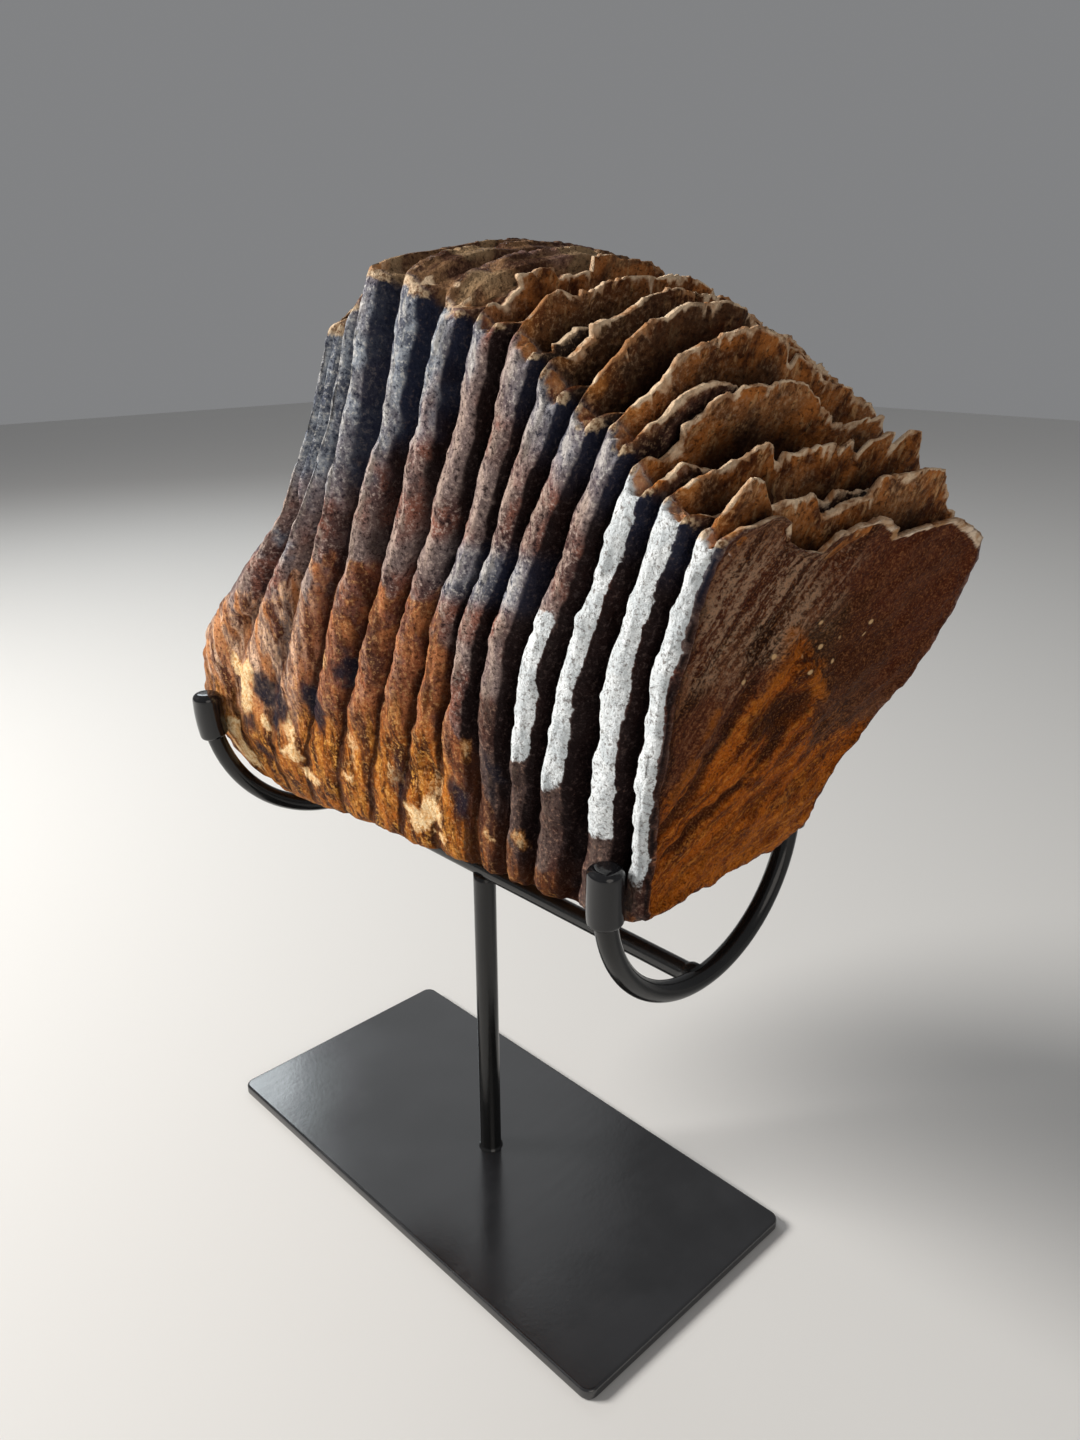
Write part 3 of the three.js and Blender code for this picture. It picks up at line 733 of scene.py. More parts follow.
def grid_faces(rows, columns, heights):
    """Quads between the rows, and the triangles that close both ends."""
    row, column = np.meshgrid(np.arange(rows - 1), np.arange(columns), indexing="ij")
    a = (row * columns + column).ravel()
    b = (row * columns + (column + 1) % columns).ravel()
    faces = [tuple(quad) for quad in np.stack([a, a + columns, b + columns, b], 1).tolist()]
    faces += zipped(0, heights[:columns])
    return faces + [f[::-1] for f in zipped(rows - 1, heights[-columns:])]


def thinned(piece, triangles):
    """Take a piece that is made of quads down to a number of triangles."""
    thin = piece.modifiers.new("thin", "DECIMATE")
    thin.ratio = triangles / (2 * len(piece.data.polygons))
    bpy.context.view_layer.objects.active = piece
    bpy.ops.object.modifier_apply(modifier="thin")
    piece.data.shade_smooth()


def make_molar():
    """The molar as one closed mesh, with a vertex attribute for each mask."""
    grid, fields = molar_skin()
    rows, columns = grid.shape[:2]
    weight = (1 - 0.6 * fields["top"]) * (1 - 0.5 * fields["pocket"]) * (1 - 0.55 * fields["merged"]) * 1.25
    points = grain(grid.reshape(-1, 3), grid_normals(grid), weight)
    mesh = bpy.data.meshes.new("molar_visual")
    mesh.from_pydata((points * MM).tolist(), [], grid_faces(rows, columns, points[:, 2]))
    for name, values in stain_masks(points, fields).items():
        attribute = mesh.attributes.new("m_" + name, "FLOAT", "POINT")
        attribute.data.foreach_set("value", values.astype(np.float32))
    mesh.update()
    molar = bpy.data.objects.new("molar_visual", mesh)
    bpy.context.scene.collection.objects.link(molar)
    thinned(molar, MOLAR_TRIANGLES)
    return molar


# ---------------- the stand, in mm, after the CAD nodes
def cad_box(node):
    """A CAD node's lowest and highest corners in mm, to a hundredth."""
    return [[round(value / MM, 2) for value in corner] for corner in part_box(node)]


BASE_X, BASE_Y, BASE_TOP = cad_box("base_plate")[1]
BASE_CORNER = 4
BASE_ARRIS = 0.9
BASE_INNER = (0.5, 0.1)     # rings on the flat faces, inside the arris
RAIL_Z = (cad_box("rail")[0][2] + cad_box("rail")[1][2]) / 2
ROD = 3.2                   # radius of the rail and of the cradles' rods
POST = 4                    # radius
CAP = 5                     # radius of the sleeves
CAP_LENGTH = 16.5
CAP_CROWN = 1.9             # how far a sleeve goes past the rod's tip
ROD_SIDES = 40
BEND_STEPS = 33
# Weld fillets: distance along the rod, and how far they stand out from it.
RAIL_WELD = [(0, 0.7), (ROD, 0.7), (ROD + 0.6, 0.5), (ROD + 1.3, 0.15), (ROD + 2, 0)]
POST_WELD = [(-0.2, 0.7), (0.2, 0.6), (0.7, 0.2), (1.3, 0)]


def cradle_spec(side):
    """Place along X, radius of the bend, and length of the straight tips of a cradle."""
    low, high = cad_box("cradle_" + side)
    radius = round(high[1] - ROD, 2)
    return round((low[0] + high[0]) / 2, 2), radius, round(high[2] - RAIL_Z - radius, 2)


CRADLES = {side: cradle_spec(side) for side in ("right", "left")}


def new_piece(node, slot, points, faces):
    """A smooth closed mesh that stands for a CAD node."""
    mesh = bpy.data.meshes.new(node + "_visual")
    mesh.from_pydata((np.array(points) * MM).tolist(), [], faces)
    shape = bmesh.new()
    shape.from_mesh(mesh)
    bmesh.ops.recalc_face_normals(shape, faces=shape.faces)
    shape.to_mesh(mesh)
    shape.free()
    mesh.shade_smooth()
    mesh.materials.append(FINISHES[slot])
    piece = bpy.data.objects.new(node + "_visual", mesh)
    bpy.context.scene.collection.objects.link(piece)
    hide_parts(node)
    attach(piece, "root")


def lofted(rings):
    """Points and faces of a closed skin through loops of equal length, flat across both ends."""
    count = len(rings[0])
    faces = []
    for i in range(len(rings) - 1):
        for j in range(count):
            k = (j + 1) % count
            faces.append((i * count + j, i * count + k, (i + 1) * count + k, (i + 1) * count + j))
    faces.append(tuple(range(count)))
    faces.append(tuple((len(rings) - 1) * count + j for j in range(count)))
    return np.vstack(rings), faces


def hoop(centre, u, v, radius):
    """A ring of points round a centre, in the plane of the directions u and v."""
    turn = np.linspace(0, 2 * np.pi, ROD_SIDES, endpoint=False)[:, None]
    return np.array(centre) + radius * (np.cos(turn) * np.array(u) + np.sin(turn) * np.array(v))


def rounded(end, way, radius, corner):
    """Place and radius of the rings that round off one end of a rod; way is the direction it points."""
    turns = np.linspace(0, np.pi / 2, 8)
    rings = [(end, 0.3 * (radius - corner))]
    rings += [(end - way * corner * (1 - math.cos(t)), radius - corner * (1 - math.sin(t))) for t in turns]
    return rings


def on_cradle(spec, side, above):
    """Place and outward direction on a cradle's rod, at a distance above the end of its bend on one side."""
    x, radius, _ = spec
    bend = max(-above, 0) / radius
    y = side * radius * math.cos(bend)
    z = RAIL_Z + radius - radius * math.sin(bend) + max(above, 0)
    return (x, y, z), (0, side * math.cos(bend), -math.sin(bend))


def cradle_skin(spec):
    """The U of a cradle, from the near tip round under the tooth to the far tip."""
    _, radius, straight = spec
    half = math.pi * radius / 2
    steps = [straight] + list(np.linspace(0, -half, BEND_STEPS))
    rings = [hoop(*on_cradle(spec, -1, above), (1, 0, 0), ROD) for above in steps]
    rings += [hoop(*on_cradle(spec, 1, above), (1, 0, 0), ROD) for above in reversed(steps[:-1])]
    return lofted(rings)


def cap_skin(spec, side):
    """A sleeve that follows the end of the rod, with a rounded crown and mouth."""
    crown = spec[2] + CAP_CROWN
    mouth = crown - CAP_LENGTH
    stations = rounded(crown, 1, CAP, 2.3)
    stations += [(above, CAP) for above in np.linspace(crown - 3, mouth + 1.6, 14)]
    stations += reversed(rounded(mouth, -1, CAP, 1.2))
    rings = []
    for above, radius in stations:
        place, out = on_cradle(spec, side, above)
        rings.append(hoop(place, out, (1, 0, 0), radius))
    return lofted(rings)


def rail_skin():
    """The rail from cradle to cradle, with its welds."""
    start, end = CRADLES["left"][0], CRADLES["right"][0]
    stations = [(start + a, ROD + out) for a, out in RAIL_WELD]
    stations += [(end - a, ROD + out) for a, out in reversed(RAIL_WELD)]
    return lofted([hoop((x, 0, RAIL_Z), (0, 1, 0), (0, 0, 1), radius) for x, radius in stations])


def post_skin():
    """The post from its weld on the plate up into the rail."""
    head = RAIL_Z - ROD / 2
    stations = [(BASE_TOP + a, POST + out) for a, out in POST_WELD]
    stations += [(60, POST), (head - 3, POST), (head, POST)]
    return lofted([hoop((0, 0, z), (1, 0, 0), (0, 1, 0), radius) for z, radius in stations])


def base_skin():
    """Plate with rounded corners and arrises; the flat faces start a little inside the arris."""
    turns = np.linspace(0, np.pi / 2, 6)
    profile = [(0, inner + BASE_ARRIS) for inner in BASE_INNER]
    profile += [(BASE_ARRIS * (1 - math.cos(t)), BASE_ARRIS * (1 - math.sin(t))) for t in turns]
    profile += [(BASE_TOP - z, gap) for z, gap in reversed(profile)]
    rings = []
    for z, gap in profile:
        radius = max(BASE_CORNER - gap, 0.3)
        loop = []
        for quarter, (sx, sy) in enumerate(((1, -1), (1, 1), (-1, 1), (-1, -1))):
            for a in np.linspace(0, np.pi / 2, 12) + (quarter - 1) * np.pi / 2:
                x = sx * (BASE_X - BASE_CORNER) + radius * math.cos(a)
                y = sy * (BASE_Y - BASE_CORNER) + radius * math.sin(a)
                loop.append((x, y, z))
        rings.append(np.array(loop))
    return lofted(rings)


def make_stand():
    new_piece("base_plate", "stand_steel", *base_skin())
    new_piece("post", "rod_steel", *post_skin())
    new_piece("rail", "rod_steel", *rail_skin())
    for side, spec in CRADLES.items():
        new_piece("cradle_" + side, "rod_steel", *cradle_skin(spec))
        new_piece("cap_" + side + "_near", "tip_rubber", *cap_skin(spec, -1))
        new_piece("cap_" + side + "_far", "tip_rubber", *cap_skin(spec, 1))


# ---------------- materials
class Surface:
    """A node material in the making. Sizes of patterns are given in millimetres."""

    def __init__(self, name):
        self.material = bpy.data.materials.new(name)
        self.material.use_nodes = True
        self.tree = self.material.node_tree
        self.shader = self.tree.nodes["Principled BSDF"]
        self.place = self.tree.nodes.new("ShaderNodeTexCoord").outputs["Object"]

    def node(self, kind, inputs, **settings):
        """A new node; each input is a socket to link, a value to set, or None to leave it."""
        made = self.tree.nodes.new(kind)
        for key, value in settings.items():
            setattr(made, key, value)
        for key, value in inputs.items():
            if isinstance(value, bpy.types.NodeSocket):
                self.tree.links.new(value, made.inputs[key])
            elif value is not None:
                made.inputs[key].default_value = value
        return made

    def mask(self, name):
        return self.node("ShaderNodeAttribute", {}, attribute_name="m_" + name).outputs["Fac"]

    def stretched(self, scale, turn=(0, 0, 0)):
        """Coordinates in which a pattern is drawn out along the axes with a small scale."""
        mapping = self.node("ShaderNodeMapping", {"Vector": self.place, "Rotation": turn, "Scale": scale})
        return mapping.outputs["Vector"]

    def fanned(self, squash):
        """Coordinates across and along the front face's fibres."""
        across = self.times(self.mask("fan"), MM)
        along = self.times(self.mask("reach"), MM * squash)
        return self.node("ShaderNodeCombineXYZ", {"X": across, "Y": along}).outputs["Vector"]

    def noise(self, size, detail=3.0, rough=0.55, twist=0.0, where=None):
        inputs = {"Vector": where or self.place, "Scale": 1000.0 / size, "Detail": detail,
                  "Roughness": rough, "Distortion": twist}
        return self.node("ShaderNodeTexNoise", inputs).outputs["Fac"]

    def cells(self, size):
        """Distance from the nearest of many scattered points."""
        inputs = {"Vector": self.place, "Scale": 1000.0 / size}
        return self.node("ShaderNodeTexVoronoi", inputs, feature="F1").outputs["Distance"]

    def step(self, value, low, high, out_low=0.0, out_high=1.0):
        """A soft ramp from out_low where the value is low to out_high where it is high."""
        inputs = {"Value": value, "From Min": low, "From Max": high, "To Min": out_low, "To Max": out_high}
        return self.node("ShaderNodeMapRange", inputs, interpolation_type="SMOOTHSTEP").outputs["Result"]

    def math(self, operation, a, b):
        return self.node("ShaderNodeMath", {0: a, 1: b}, operation=operation).outputs[0]

    def times(self, *values):
        total = values[0]
        for value in values[1:]:
            total = self.math("MULTIPLY", total, value)
        return total

    def blend(self, fac, a, b):
        """A number between a and b."""
        return self.node("ShaderNodeMix", {0: fac, 2: a, 3: b}).outputs[0]

    def mix(self, fac, a, b):
        """A colour between a and b."""
        made = self.node("ShaderNodeMix", {"Factor": fac}, data_type="RGBA")
        for socket, value in ((made.inputs[6], a), (made.inputs[7], b)):
            if isinstance(value, bpy.types.NodeSocket):
                self.tree.links.new(value, socket)
            else:
                socket.default_value = (*value, 1)
        return made.outputs[2]

    def ragged(self, name, low, high, by):
        """A mask with its border broken up by fine noise."""
        loose = self.math("SUBTRACT", self.noise(1.25, 3, 0.7), 0.5)
        return self.step(self.math("ADD", self.mask(name), self.math("MULTIPLY", loose, by)), low, high)

    def bump(self, height, strength, distance, below=None):
        inputs = {"Height": height, "Strength": strength, "Distance": distance * MM, "Normal": below}
        return self.node("ShaderNodeBump", inputs).outputs["Normal"]

    def finish(self, colour, roughness, normal):
        for key, value in (("Base Color", colour), ("Roughness", roughness), ("Normal", normal)):
            self.tree.links.new(value, self.shader.inputs[key])
        return self.material


# What the fossil is painted with. A recipe is a base and its coats. A coat is one or more factors, which are
# multiplied, and then a linear RGB colour or another recipe. A factor is a number, a pattern or mask by name,
# or a soft ramp: such a name and two levels, and the values there if they aren't 0 and 1. A name with ~ is a
# mask whose border is broken up as much as the last number says.
RECIPES = {
    "tooth": [
        "mauve",
        ("blue", "slate"),
        ("heel", ("streak", 0.58, 0.42), 0.75, "mottle"),
        (("~rust", 0.3, 0.7, 0.5), "rust"),
        (("~gloom", 0.35, 0.65, 0.5), "gloom_strength", "gloom"),
        # painted shade on the ridges' flanks and in the grooves
        (("~shade", 0.2, 0.8, 0.4), "shade_strength", "shade"),
        (("~cream", 0.05, 0.6, 0.6), ("vein", 0.4, 0.56, 0.0, 0.8), (0.6, 0.23, 0.045)),
        (("~cream", 0.22, 0.85, 0.8), 0.95, "cream"),
        (("~ink", 0.08, 0.92, 0.4), 0.93, "ink"),
        (("~chalk", 0.38, 0.58, 0.55), "chalk"),
        (("~tip", 0.3, 0.8, 0.7), 0.85, "tip"),
        ("inside", "inside"),
        (("~ember", 0.2, 0.9, 0.8), 0.85, "ember"),
        (("~rim", 0.35, 0.75, 0.5), ("streak", 0.36, 0.52, 0.4, 0.95), "rim"),
        ("face", "face"),
    ],
    "mauve": [
        (0.095, 0.048, 0.043),
        (("patch", 0.4, 0.6), (0.25, 0.1, 0.07)),
        (("broad", 0.42, 0.6), (0.2, 0.145, 0.135)),
        # worn crests, which are also a painted highlight on their lit side
        ("wear", ("vein", 0.4, 0.6), 0.75, (0.52, 0.39, 0.32)),
        ("light", 0.65, (0.56, 0.43, 0.37)),
        ("dark", 0.85, (0.018, 0.009, 0.010)),
    ],
    "slate": [
        (0.1, 0.112, 0.148),
        (("patch", 0.38, 0.62), (0.3, 0.33, 0.375)),
        (("broad", 0.45, 0.6), 0.6, (0.17, 0.13, 0.14)),
        # worn crests, which are also a painted highlight on their lit side
        ("wear", ("vein", 0.4, 0.6), 0.75, (0.58, 0.56, 0.53)),
        ("light", 0.65, (0.7, 0.69, 0.66)),
        ("dark", 0.85, (0.02, 0.024, 0.045)),
    ],
    "mottle": [(0.05, 0.035, 0.035), (("stripe", 0.42, 0.58), (0.17, 0.1, 0.08))],
    "rust": [
        (0.09, 0.026, 0.014),
        (("streak", 0.38, 0.6), (0.31, 0.105, 0.05)),
        (("patch", 0.5, 0.64), 0.6, (0.2, 0.09, 0.07)),
        # worn crests, which are also a painted highlight on their lit side
        ("wear", ("vein", 0.4, 0.6), 0.5, (0.58, 0.33, 0.22)),
        ("gold", "gold"),
        ("flame", ("patch", 0.58, 0.4), 0.6, (0.54, 0.2, 0.07)),
        (("stripe", 0.47, 0.36), 0.65, (0.05, 0.016, 0.009)),
        ("pale", ("streak", 0.36, 0.56), "pale"),
        ("light", 0.42, (0.74, 0.42, 0.18)),
        ("dark", "rust_pits", (0.04, 0.012, 0.005)),
    ],
    "gold": [
        (0.06, 0.014, 0.003),
        (("streak", 0.4, 0.58), (0.41, 0.12, 0.016)),
        (("vein", 0.44, 0.6), ("speck", 0.44, 0.58), ("patch", 0.44, 0.6, 0.12, 0.9), (0.76, 0.35, 0.06)),
        (("stripe", 0.5, 0.6), ("vein", 0.4, 0.56), 0.5, (0.64, 0.255, 0.042)),
    ],
    "pale": [
        (0.3, 0.18, 0.13),
        (("vein", 0.4, 0.6), (0.85, 0.56, 0.38)),
        (("stripe", 0.5, 0.6), 0.75, (0.5, 0.17, 0.04)),
        (("stripe", 0.45, 0.34), 0.7, (0.2, 0.17, 0.17)),
    ],
    "gloom": [(0.028, 0.012, 0.009), ("light", 0.5, (0.3, 0.14, 0.08))],
    # Painted shade: near black, navy where the tooth is slate blue, dark rust low down, with a few pale
    # specks.
    "shade": [
        (0.01, 0.005, 0.005),
        ("blue", (0.013, 0.016, 0.034)),
        ("rust", (0.035, 0.01, 0.004)),
        ("light", 0.2, (0.14, 0.1, 0.1)),
    ],
    "cream": [
        (0.68, 0.34, 0.1),
        (("speck", 0.32, 0.56), (0.95, 0.72, 0.42)),
        (("vein", 0.5, 0.38), 0.6, (0.62, 0.28, 0.07)),
    ],
    "ink": [(0.012, 0.013, 0.024), ("light", 0.6, (0.12, 0.09, 0.08))],
    "chalk": [
        (0.6, 0.64, 0.66),
        (("patch", 0.35, 0.65), (0.8, 0.83, 0.84)),
        ("pocks", 0.85, (0.17, 0.15, 0.14)),
    ],
    "tip": [(0.24, 0.12, 0.05), (("speck", 0.36, 0.58), (0.74, 0.55, 0.35))],
    "inside": [
        (0.085, 0.024, 0.008),
        (("patch", 0.36, 0.64), (0.44, 0.15, 0.035)),
        (("broad", 0.45, 0.6), 0.45, (0.19, 0.1, 0.05)),
        (("thread", 0.48, 0.64), ("vein", 0.4, 0.6), 0.8, (0.58, 0.32, 0.14)),
        ("old", "old"),
        ("between", "between"),
        ("dim", ("patch", 0.34, 0.5), 0.8, (0.034, 0.024, 0.018)),
        ("light", ("broad", 0.4, 0.6, 0.1, 0.42), (0.58, 0.38, 0.23)),
        ("dark", 0.7, (0.02, 0.008, 0.005)),
        # painted shade deep in the pockets
        ("buried", 0.9, (0.01, 0.004, 0.003)),
    ],
    "old": [
        (0.07, 0.032, 0.02),
        (("patch", 0.42, 0.6), (0.22, 0.12, 0.06)),
        (("broad", 0.5, 0.62), 0.6, (0.17, 0.1, 0.1)),
        (("disc", 0.54, 0.6), 0.8, (0.33, 0.22, 0.12)),
    ],
    "between": [
        (0.02, 0.01, 0.009),
        (("streak", 0.4, 0.62), (0.09, 0.045, 0.035)),
        (("patch", 0.56, 0.66), 0.6, (0.2, 0.16, 0.15)),
    ],
    "ember": [
        (0.16, 0.045, 0.012),
        (("patch", 0.38, 0.6), (0.55, 0.21, 0.05)),
        (("speck", 0.5, 0.64), 0.6, (0.74, 0.42, 0.18)),
    ],
    "rim": [(0.42, 0.2, 0.085), (("patch", 0.36, 0.58), (0.82, 0.62, 0.42))],
    "face": [
        "umber",
        (("~amber", 0.2, 0.85, 1.0), "amber"),
        (("~knot", 0.15, 0.9, 0.9), 0.85, (0.026, 0.007, 0.003)),
        (("~seam", 0.1, 1.0, 1.1), ("swirl", 0.4, 0.56), 0.5, (0.46, 0.13, 0.01)),
        (("grit", 0.54, 0.66), 0.3, (0.45, 0.19, 0.07)),
        (("grit", 0.46, 0.34), 0.5, (0.012, 0.004, 0.002)),
        (("cells", 0.2, 0.1), ("~flecks", 0.4, 0.6, 0.5), (0.62, 0.4, 0.2)),
        (("~rind", 0.25, 0.6, 0.5), "rind"),
    ],
    "umber": [
        (0.034, 0.011, 0.004),
        (("wide", 0.38, 0.62), (0.145, 0.056, 0.027)),
        (("broad", 0.4, 0.58), 0.75, (0.085, 0.02, 0.008)),
        ("olive", 0.8, (0.03, 0.018, 0.007)),
        ("silver", ("mixed", 0.47, 0.59), 0.85, (0.37, 0.25, 0.165)),
        ("bright", 0.4, (0.36, 0.17, 0.085)),
        ("dull", 0.65, (0.012, 0.004, 0.002)),
        ("calm", 0.55, (0.085, 0.016, 0.004)),
    ],
    "amber": [
        (0.09, 0.016, 0.001),
        (("swirl", 0.38, 0.6), (0.43, 0.1, 0.006)),
        (("strand", 0.5, 0.62), 0.6, (0.13, 0.026, 0.003)),
        ("glow", "glow"),
        ("bright", 0.5, (0.72, 0.27, 0.045)),
        (("speck", 0.46, 0.36), 0.6, (0.035, 0.008, 0.001)),
    ],
    "glow": [
        (0.2, 0.042, 0.003),
        (("patch", 0.38, 0.62), (0.47, 0.13, 0.01)),
        (("strand", 0.56, 0.66), 0.35, (0.16, 0.028, 0.003)),
    ],
    "rind": [(0.4, 0.22, 0.1), (("patch", 0.38, 0.6), (0.82, 0.66, 0.5))],
}


class Paint:
    """Patterns for the fossil, and the recipes as nodes."""

    def __init__(self, m):
        self.m = m
        self.broad = m.noise(22, 2)
        self.patch = m.noise(7, 3, 0.6, 0.5)
        self.disc = m.noise(16, 2, 0.4)
        self.speck = m.noise(1.25, 3, 0.7)
        self.grit = m.noise(0.6, 2, 0.6)
        self.streak = m.noise(4.2, 4, 0.66, 0.0, m.stretched((1, 1, 0.22)))
        self.thread = m.noise(1.7, 3, 0.65, 0.0, m.stretched((1, 1, 0.16)))
        self.vein = m.noise(2.2, 4, 0.7, 0.1, m.stretched((1, 1, 0.3)))
        self.stripe = m.noise(5.5, 2, 0.5, 0.1, m.stretched((1, 1, 0.1)))
        self.cells = m.cells(5)
        # pale specks: partly grit, partly painted glints on the grainy surface
        self.light = m.step(self.speck, 0.52, 0.66)
        self.dark = m.step(self.speck, 0.47, 0.34)
        self.pocks = m.math("MAXIMUM", self.dark, m.times(m.step(self.grit, 0.44, 0.34), 0.6))
        self.rust_pits = m.blend(m.mask("gold"), 0.75, 0.55)
        self.gloom_strength = m.blend(m.mask("gold"), 0.75, 0.35)
        # how strong the painted shade is: a little weaker in the rust and much weaker on the pale heel
        in_pale = m.step(m.mask("pale"), 0, 1, 1, 0.45)
        self.shade_strength = m.times(m.blend(m.mask("rust"), 0.97, 0.85), in_pale)
        # along the fibres of the front face, and plain where it is calm
        self.strand = m.noise(5.5, 4, 0.62, 0.4, m.fanned(0.16))
        self.fibre = m.noise(1.35, 3, 0.6, 0.0, m.fanned(0.05))
        self.swirl = m.noise(6.5, 4, 0.66, 0.7, m.fanned(0.42))
        self.mixed = m.math("ADD", m.times(self.fibre, 0.5), m.times(self.speck, 0.5))
        self.wide = m.blend(m.mask("calm"), self.strand, self.patch)
        flake = m.blend(m.mask("calm"), self.mixed, self.speck)
        self.bright = m.step(flake, 0.5, 0.62)
        self.dull = m.step(flake, 0.48, 0.38)

    def factor(self, what):
        """A number as it is, and a name or ramp as a socket."""
        if isinstance(what, str):
            return getattr(self, what) if hasattr(self, what) else self.m.mask(what)
        if isinstance(what, tuple):
            name, *levels = what
            if name.startswith("~"):
                return self.m.ragged(name[1:], *levels)
            return self.m.step(self.factor(name), *levels)
        return what

    def colour(self, what):
        """A colour as it is, and a recipe as a socket."""
        if isinstance(what, tuple):
            return what
        base, *coats = RECIPES[what]
        colour = self.colour(base)
        for *factors, coat in coats:
            factors = [self.factor(one) for one in factors]
            colour = self.m.mix(self.m.times(*factors), colour, self.colour(coat))
        return colour


FOSSIL_SPECULAR = 0.04
SCUFF_COLOUR = (0.07, 0.07, 0.075)
DUST_COLOUR = (0.16, 0.155, 0.15)


def fossil_material():
    """The whole tooth: painted, satin to dull, with four kinds of bump."""
    m = Surface("fossil_enamel")
    paint = Paint(m)
    roughness = m.step(paint.speck, 0.3, 0.7, 0.4, 0.75)
    normal = m.bump(m.noise(3.0, 3, 0.6), 0.5, 0.9)
    normal = m.bump(m.cells(1.3), 0.5, 0.5, normal)
    normal = m.bump(m.math("ADD", paint.speck, paint.grit), 0.8, 0.45, normal)
    normal = m.bump(m.times(paint.fibre, m.mask("face")), 0.7, 0.9, normal)
    m.shader.inputs["Specular IOR Level"].default_value = FOSSIL_SPECULAR
    return m.finish(paint.colour("tooth"), roughness, normal)


def black_material(name, black, smoothest, roughest, specular):
    """Smooth black finish: faint clouds, fine orange peel, dust and long light scuffs."""
    m = Surface(name)
    cloud = m.noise(34, 3)
    dust = m.step(m.noise(0.8, 2, 0.7), 0.68, 0.78)
    scuff = m.noise(3.2, 4, 0.75, 0.3, m.stretched((1, 0.12, 1), (0, 0, 0.35)))
    colour = m.mix(m.step(cloud, 0.35, 0.65), black, tuple(c * 1.6 for c in black))
    colour = m.mix(m.times(m.step(scuff, 0.66, 0.74), 0.3), colour, SCUFF_COLOUR)
    colour = m.mix(m.times(dust, 0.25), colour, DUST_COLOUR)
    uneven = m.step(m.math("ADD", m.times(cloud, 0.6), m.times(scuff, 0.4)), 0.35, 0.65)
    normal = m.bump(m.noise(1.6, 2), 0.08, 0.25)
    normal = m.bump(scuff, 0.04, 0.2, normal)
    m.shader.inputs["Specular IOR Level"].default_value = specular
    return m.finish(colour, m.blend(uneven, smoothest, roughest), normal)


# ---------------- floor, lamps and camera, in metres
FLOOR_SIZE = 6
FLOOR_COLOUR = (0.75, 0.74, 0.72)
FLOOR_ROUGHNESS = 0.7
SKY_COLOUR = (0.82, 0.83, 0.85)
SKY_STRENGTH = 0.27
KEY_PLACE = (-0.8, -0.75, 0.85)
KEY_AIM = (0, 0, 0.22)
KEY_COLOUR = (1.0, 0.97, 0.93)
EYE = Vector((262.98, -226.93, 311.34)) * MM
YAW, PITCH, ROLL = (math.radians(a) for a in (-45.95, -20.67, -0.22))
SENSOR = 36                 # mm, along the picture's height
FOCAL = 1111.4 / 1440       # focal length as a share of the picture's height


def make_floor():
    """The plain pale floor, which isn't part of the object."""
    bpy.ops.mesh.primitive_plane_add(size=FLOOR_SIZE)
    floor = bpy.context.object
    floor.name = "floor"
    pale = bpy.data.materials.new("floor_pale")
    pale.use_nodes = True
    shader = pale.node_tree.nodes["Principled BSDF"]
    shader.inputs["Base Color"].default_value = (*FLOOR_COLOUR, 1)
    shader.inputs["Roughness"].default_value = FLOOR_ROUGHNESS
    floor.data.materials.append(pale)


def make_world():
    """Soft light from all round."""
    world = bpy.data.worlds.new("studio")
    bpy.context.scene.world = world
    world.use_nodes = True
    sky = world.node_tree.nodes["Background"]
    sky.inputs["Color"].default_value = (*SKY_COLOUR, 1)
    sky.inputs["Strength"].default_value = SKY_STRENGTH


def area_light(name, place, aim, size, power, colour):
    """A round lamp that the camera doesn't see, pointed at a place."""
    data = bpy.data.lights.new(name, "AREA")
    data.shape = "DISK"
    data.size = size
    data.energy = power
    data.color = colour
    lamp = bpy.data.objects.new(name, data)
    lamp.visible_camera = False
    bpy.context.scene.collection.objects.link(lamp)
    direction = Vector(aim) - Vector(place)
    lamp.location = place
    lamp.rotation_euler = direction.to_track_quat("-Z", "Y").to_euler()
    return lamp


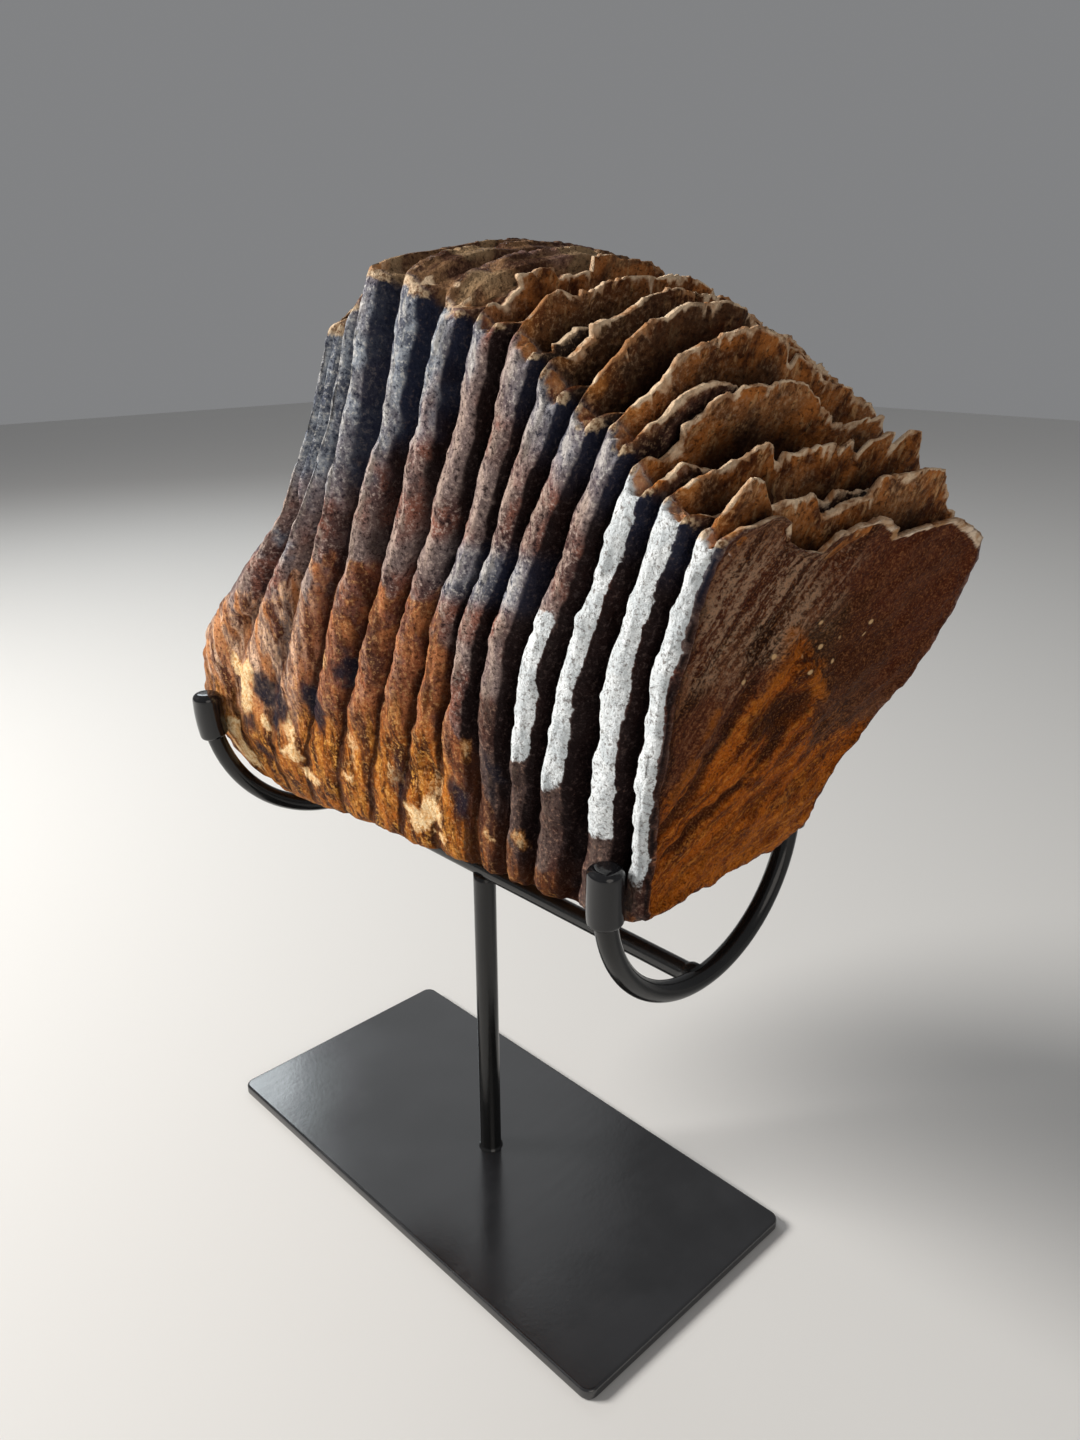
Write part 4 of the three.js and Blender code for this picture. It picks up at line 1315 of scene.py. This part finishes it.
def make_lamps():
    """The key lamp gives light and a weaker one in the same place the gloss; three others fill in."""
    key = area_light("key", KEY_PLACE, KEY_AIM, 0.5, 22, KEY_COLOUR)
    key.visible_glossy = False
    sparkle = area_light("sparkle", KEY_PLACE, KEY_AIM, 0.5, 6, KEY_COLOUR)
    sparkle.visible_diffuse = False
    area_light("fill", (1.2, -0.5, 0.5), (0, 0, 0.2), 0.9, 2.5, (1.0, 0.93, 0.85))
    area_light("rim", (-1.27, 0.40, 0.92), (-0.05, 0, 0.1), 0.42, 2.3, (0.88, 0.96, 1.0))
    area_light("panel", (-1.06, 0.62, 0.95), (0, 0, 0.05), 0.9, 0.95, (0.95, 0.98, 1.0))


def make_camera():
    """The photograph's viewing angle, fitted to the stand's base plate and post."""
    ahead = Vector((math.cos(PITCH) * math.sin(YAW), math.cos(PITCH) * math.cos(YAW), math.sin(PITCH)))
    right = Vector((math.cos(YAW), -math.sin(YAW), 0))
    up = right.cross(ahead)
    turned = math.cos(ROLL) * right + math.sin(ROLL) * up
    upright = -math.sin(ROLL) * right + math.cos(ROLL) * up
    view = bpy.data.cameras.new("camera")
    view.sensor_width = SENSOR
    view.lens = SENSOR * FOCAL
    view.clip_start = 0.01
    camera = bpy.data.objects.new("camera", view)
    camera.matrix_world = Matrix((
        (turned.x, upright.x, -ahead.x, EYE.x),
        (turned.y, upright.y, -ahead.y, EYE.y),
        (turned.z, upright.z, -ahead.z, EYE.z),
        (0, 0, 0, 1),
    ))
    bpy.context.scene.collection.objects.link(camera)
    bpy.context.scene.camera = camera


# ---------------- the object and its studio
molar = make_molar()
FINISHES = {
    "stand_steel": black_material("plate_black_gloss", (0.010, 0.010, 0.011), 0.14, 0.22, 1.0),
    "rod_steel": black_material("rod_black_satin", (0.006, 0.006, 0.006), 0.15, 0.26, 0.5),
    "tip_rubber": black_material("tip_black_vinyl", (0.006, 0.006, 0.007), 0.1, 0.18, 0.6),
}
make_stand()
molar.data.materials.append(fossil_material())
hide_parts("molar")
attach(molar, "root")

bpy.context.scene.view_settings.view_transform = "Standard"
make_floor()
make_world()
make_lamps()
make_camera()
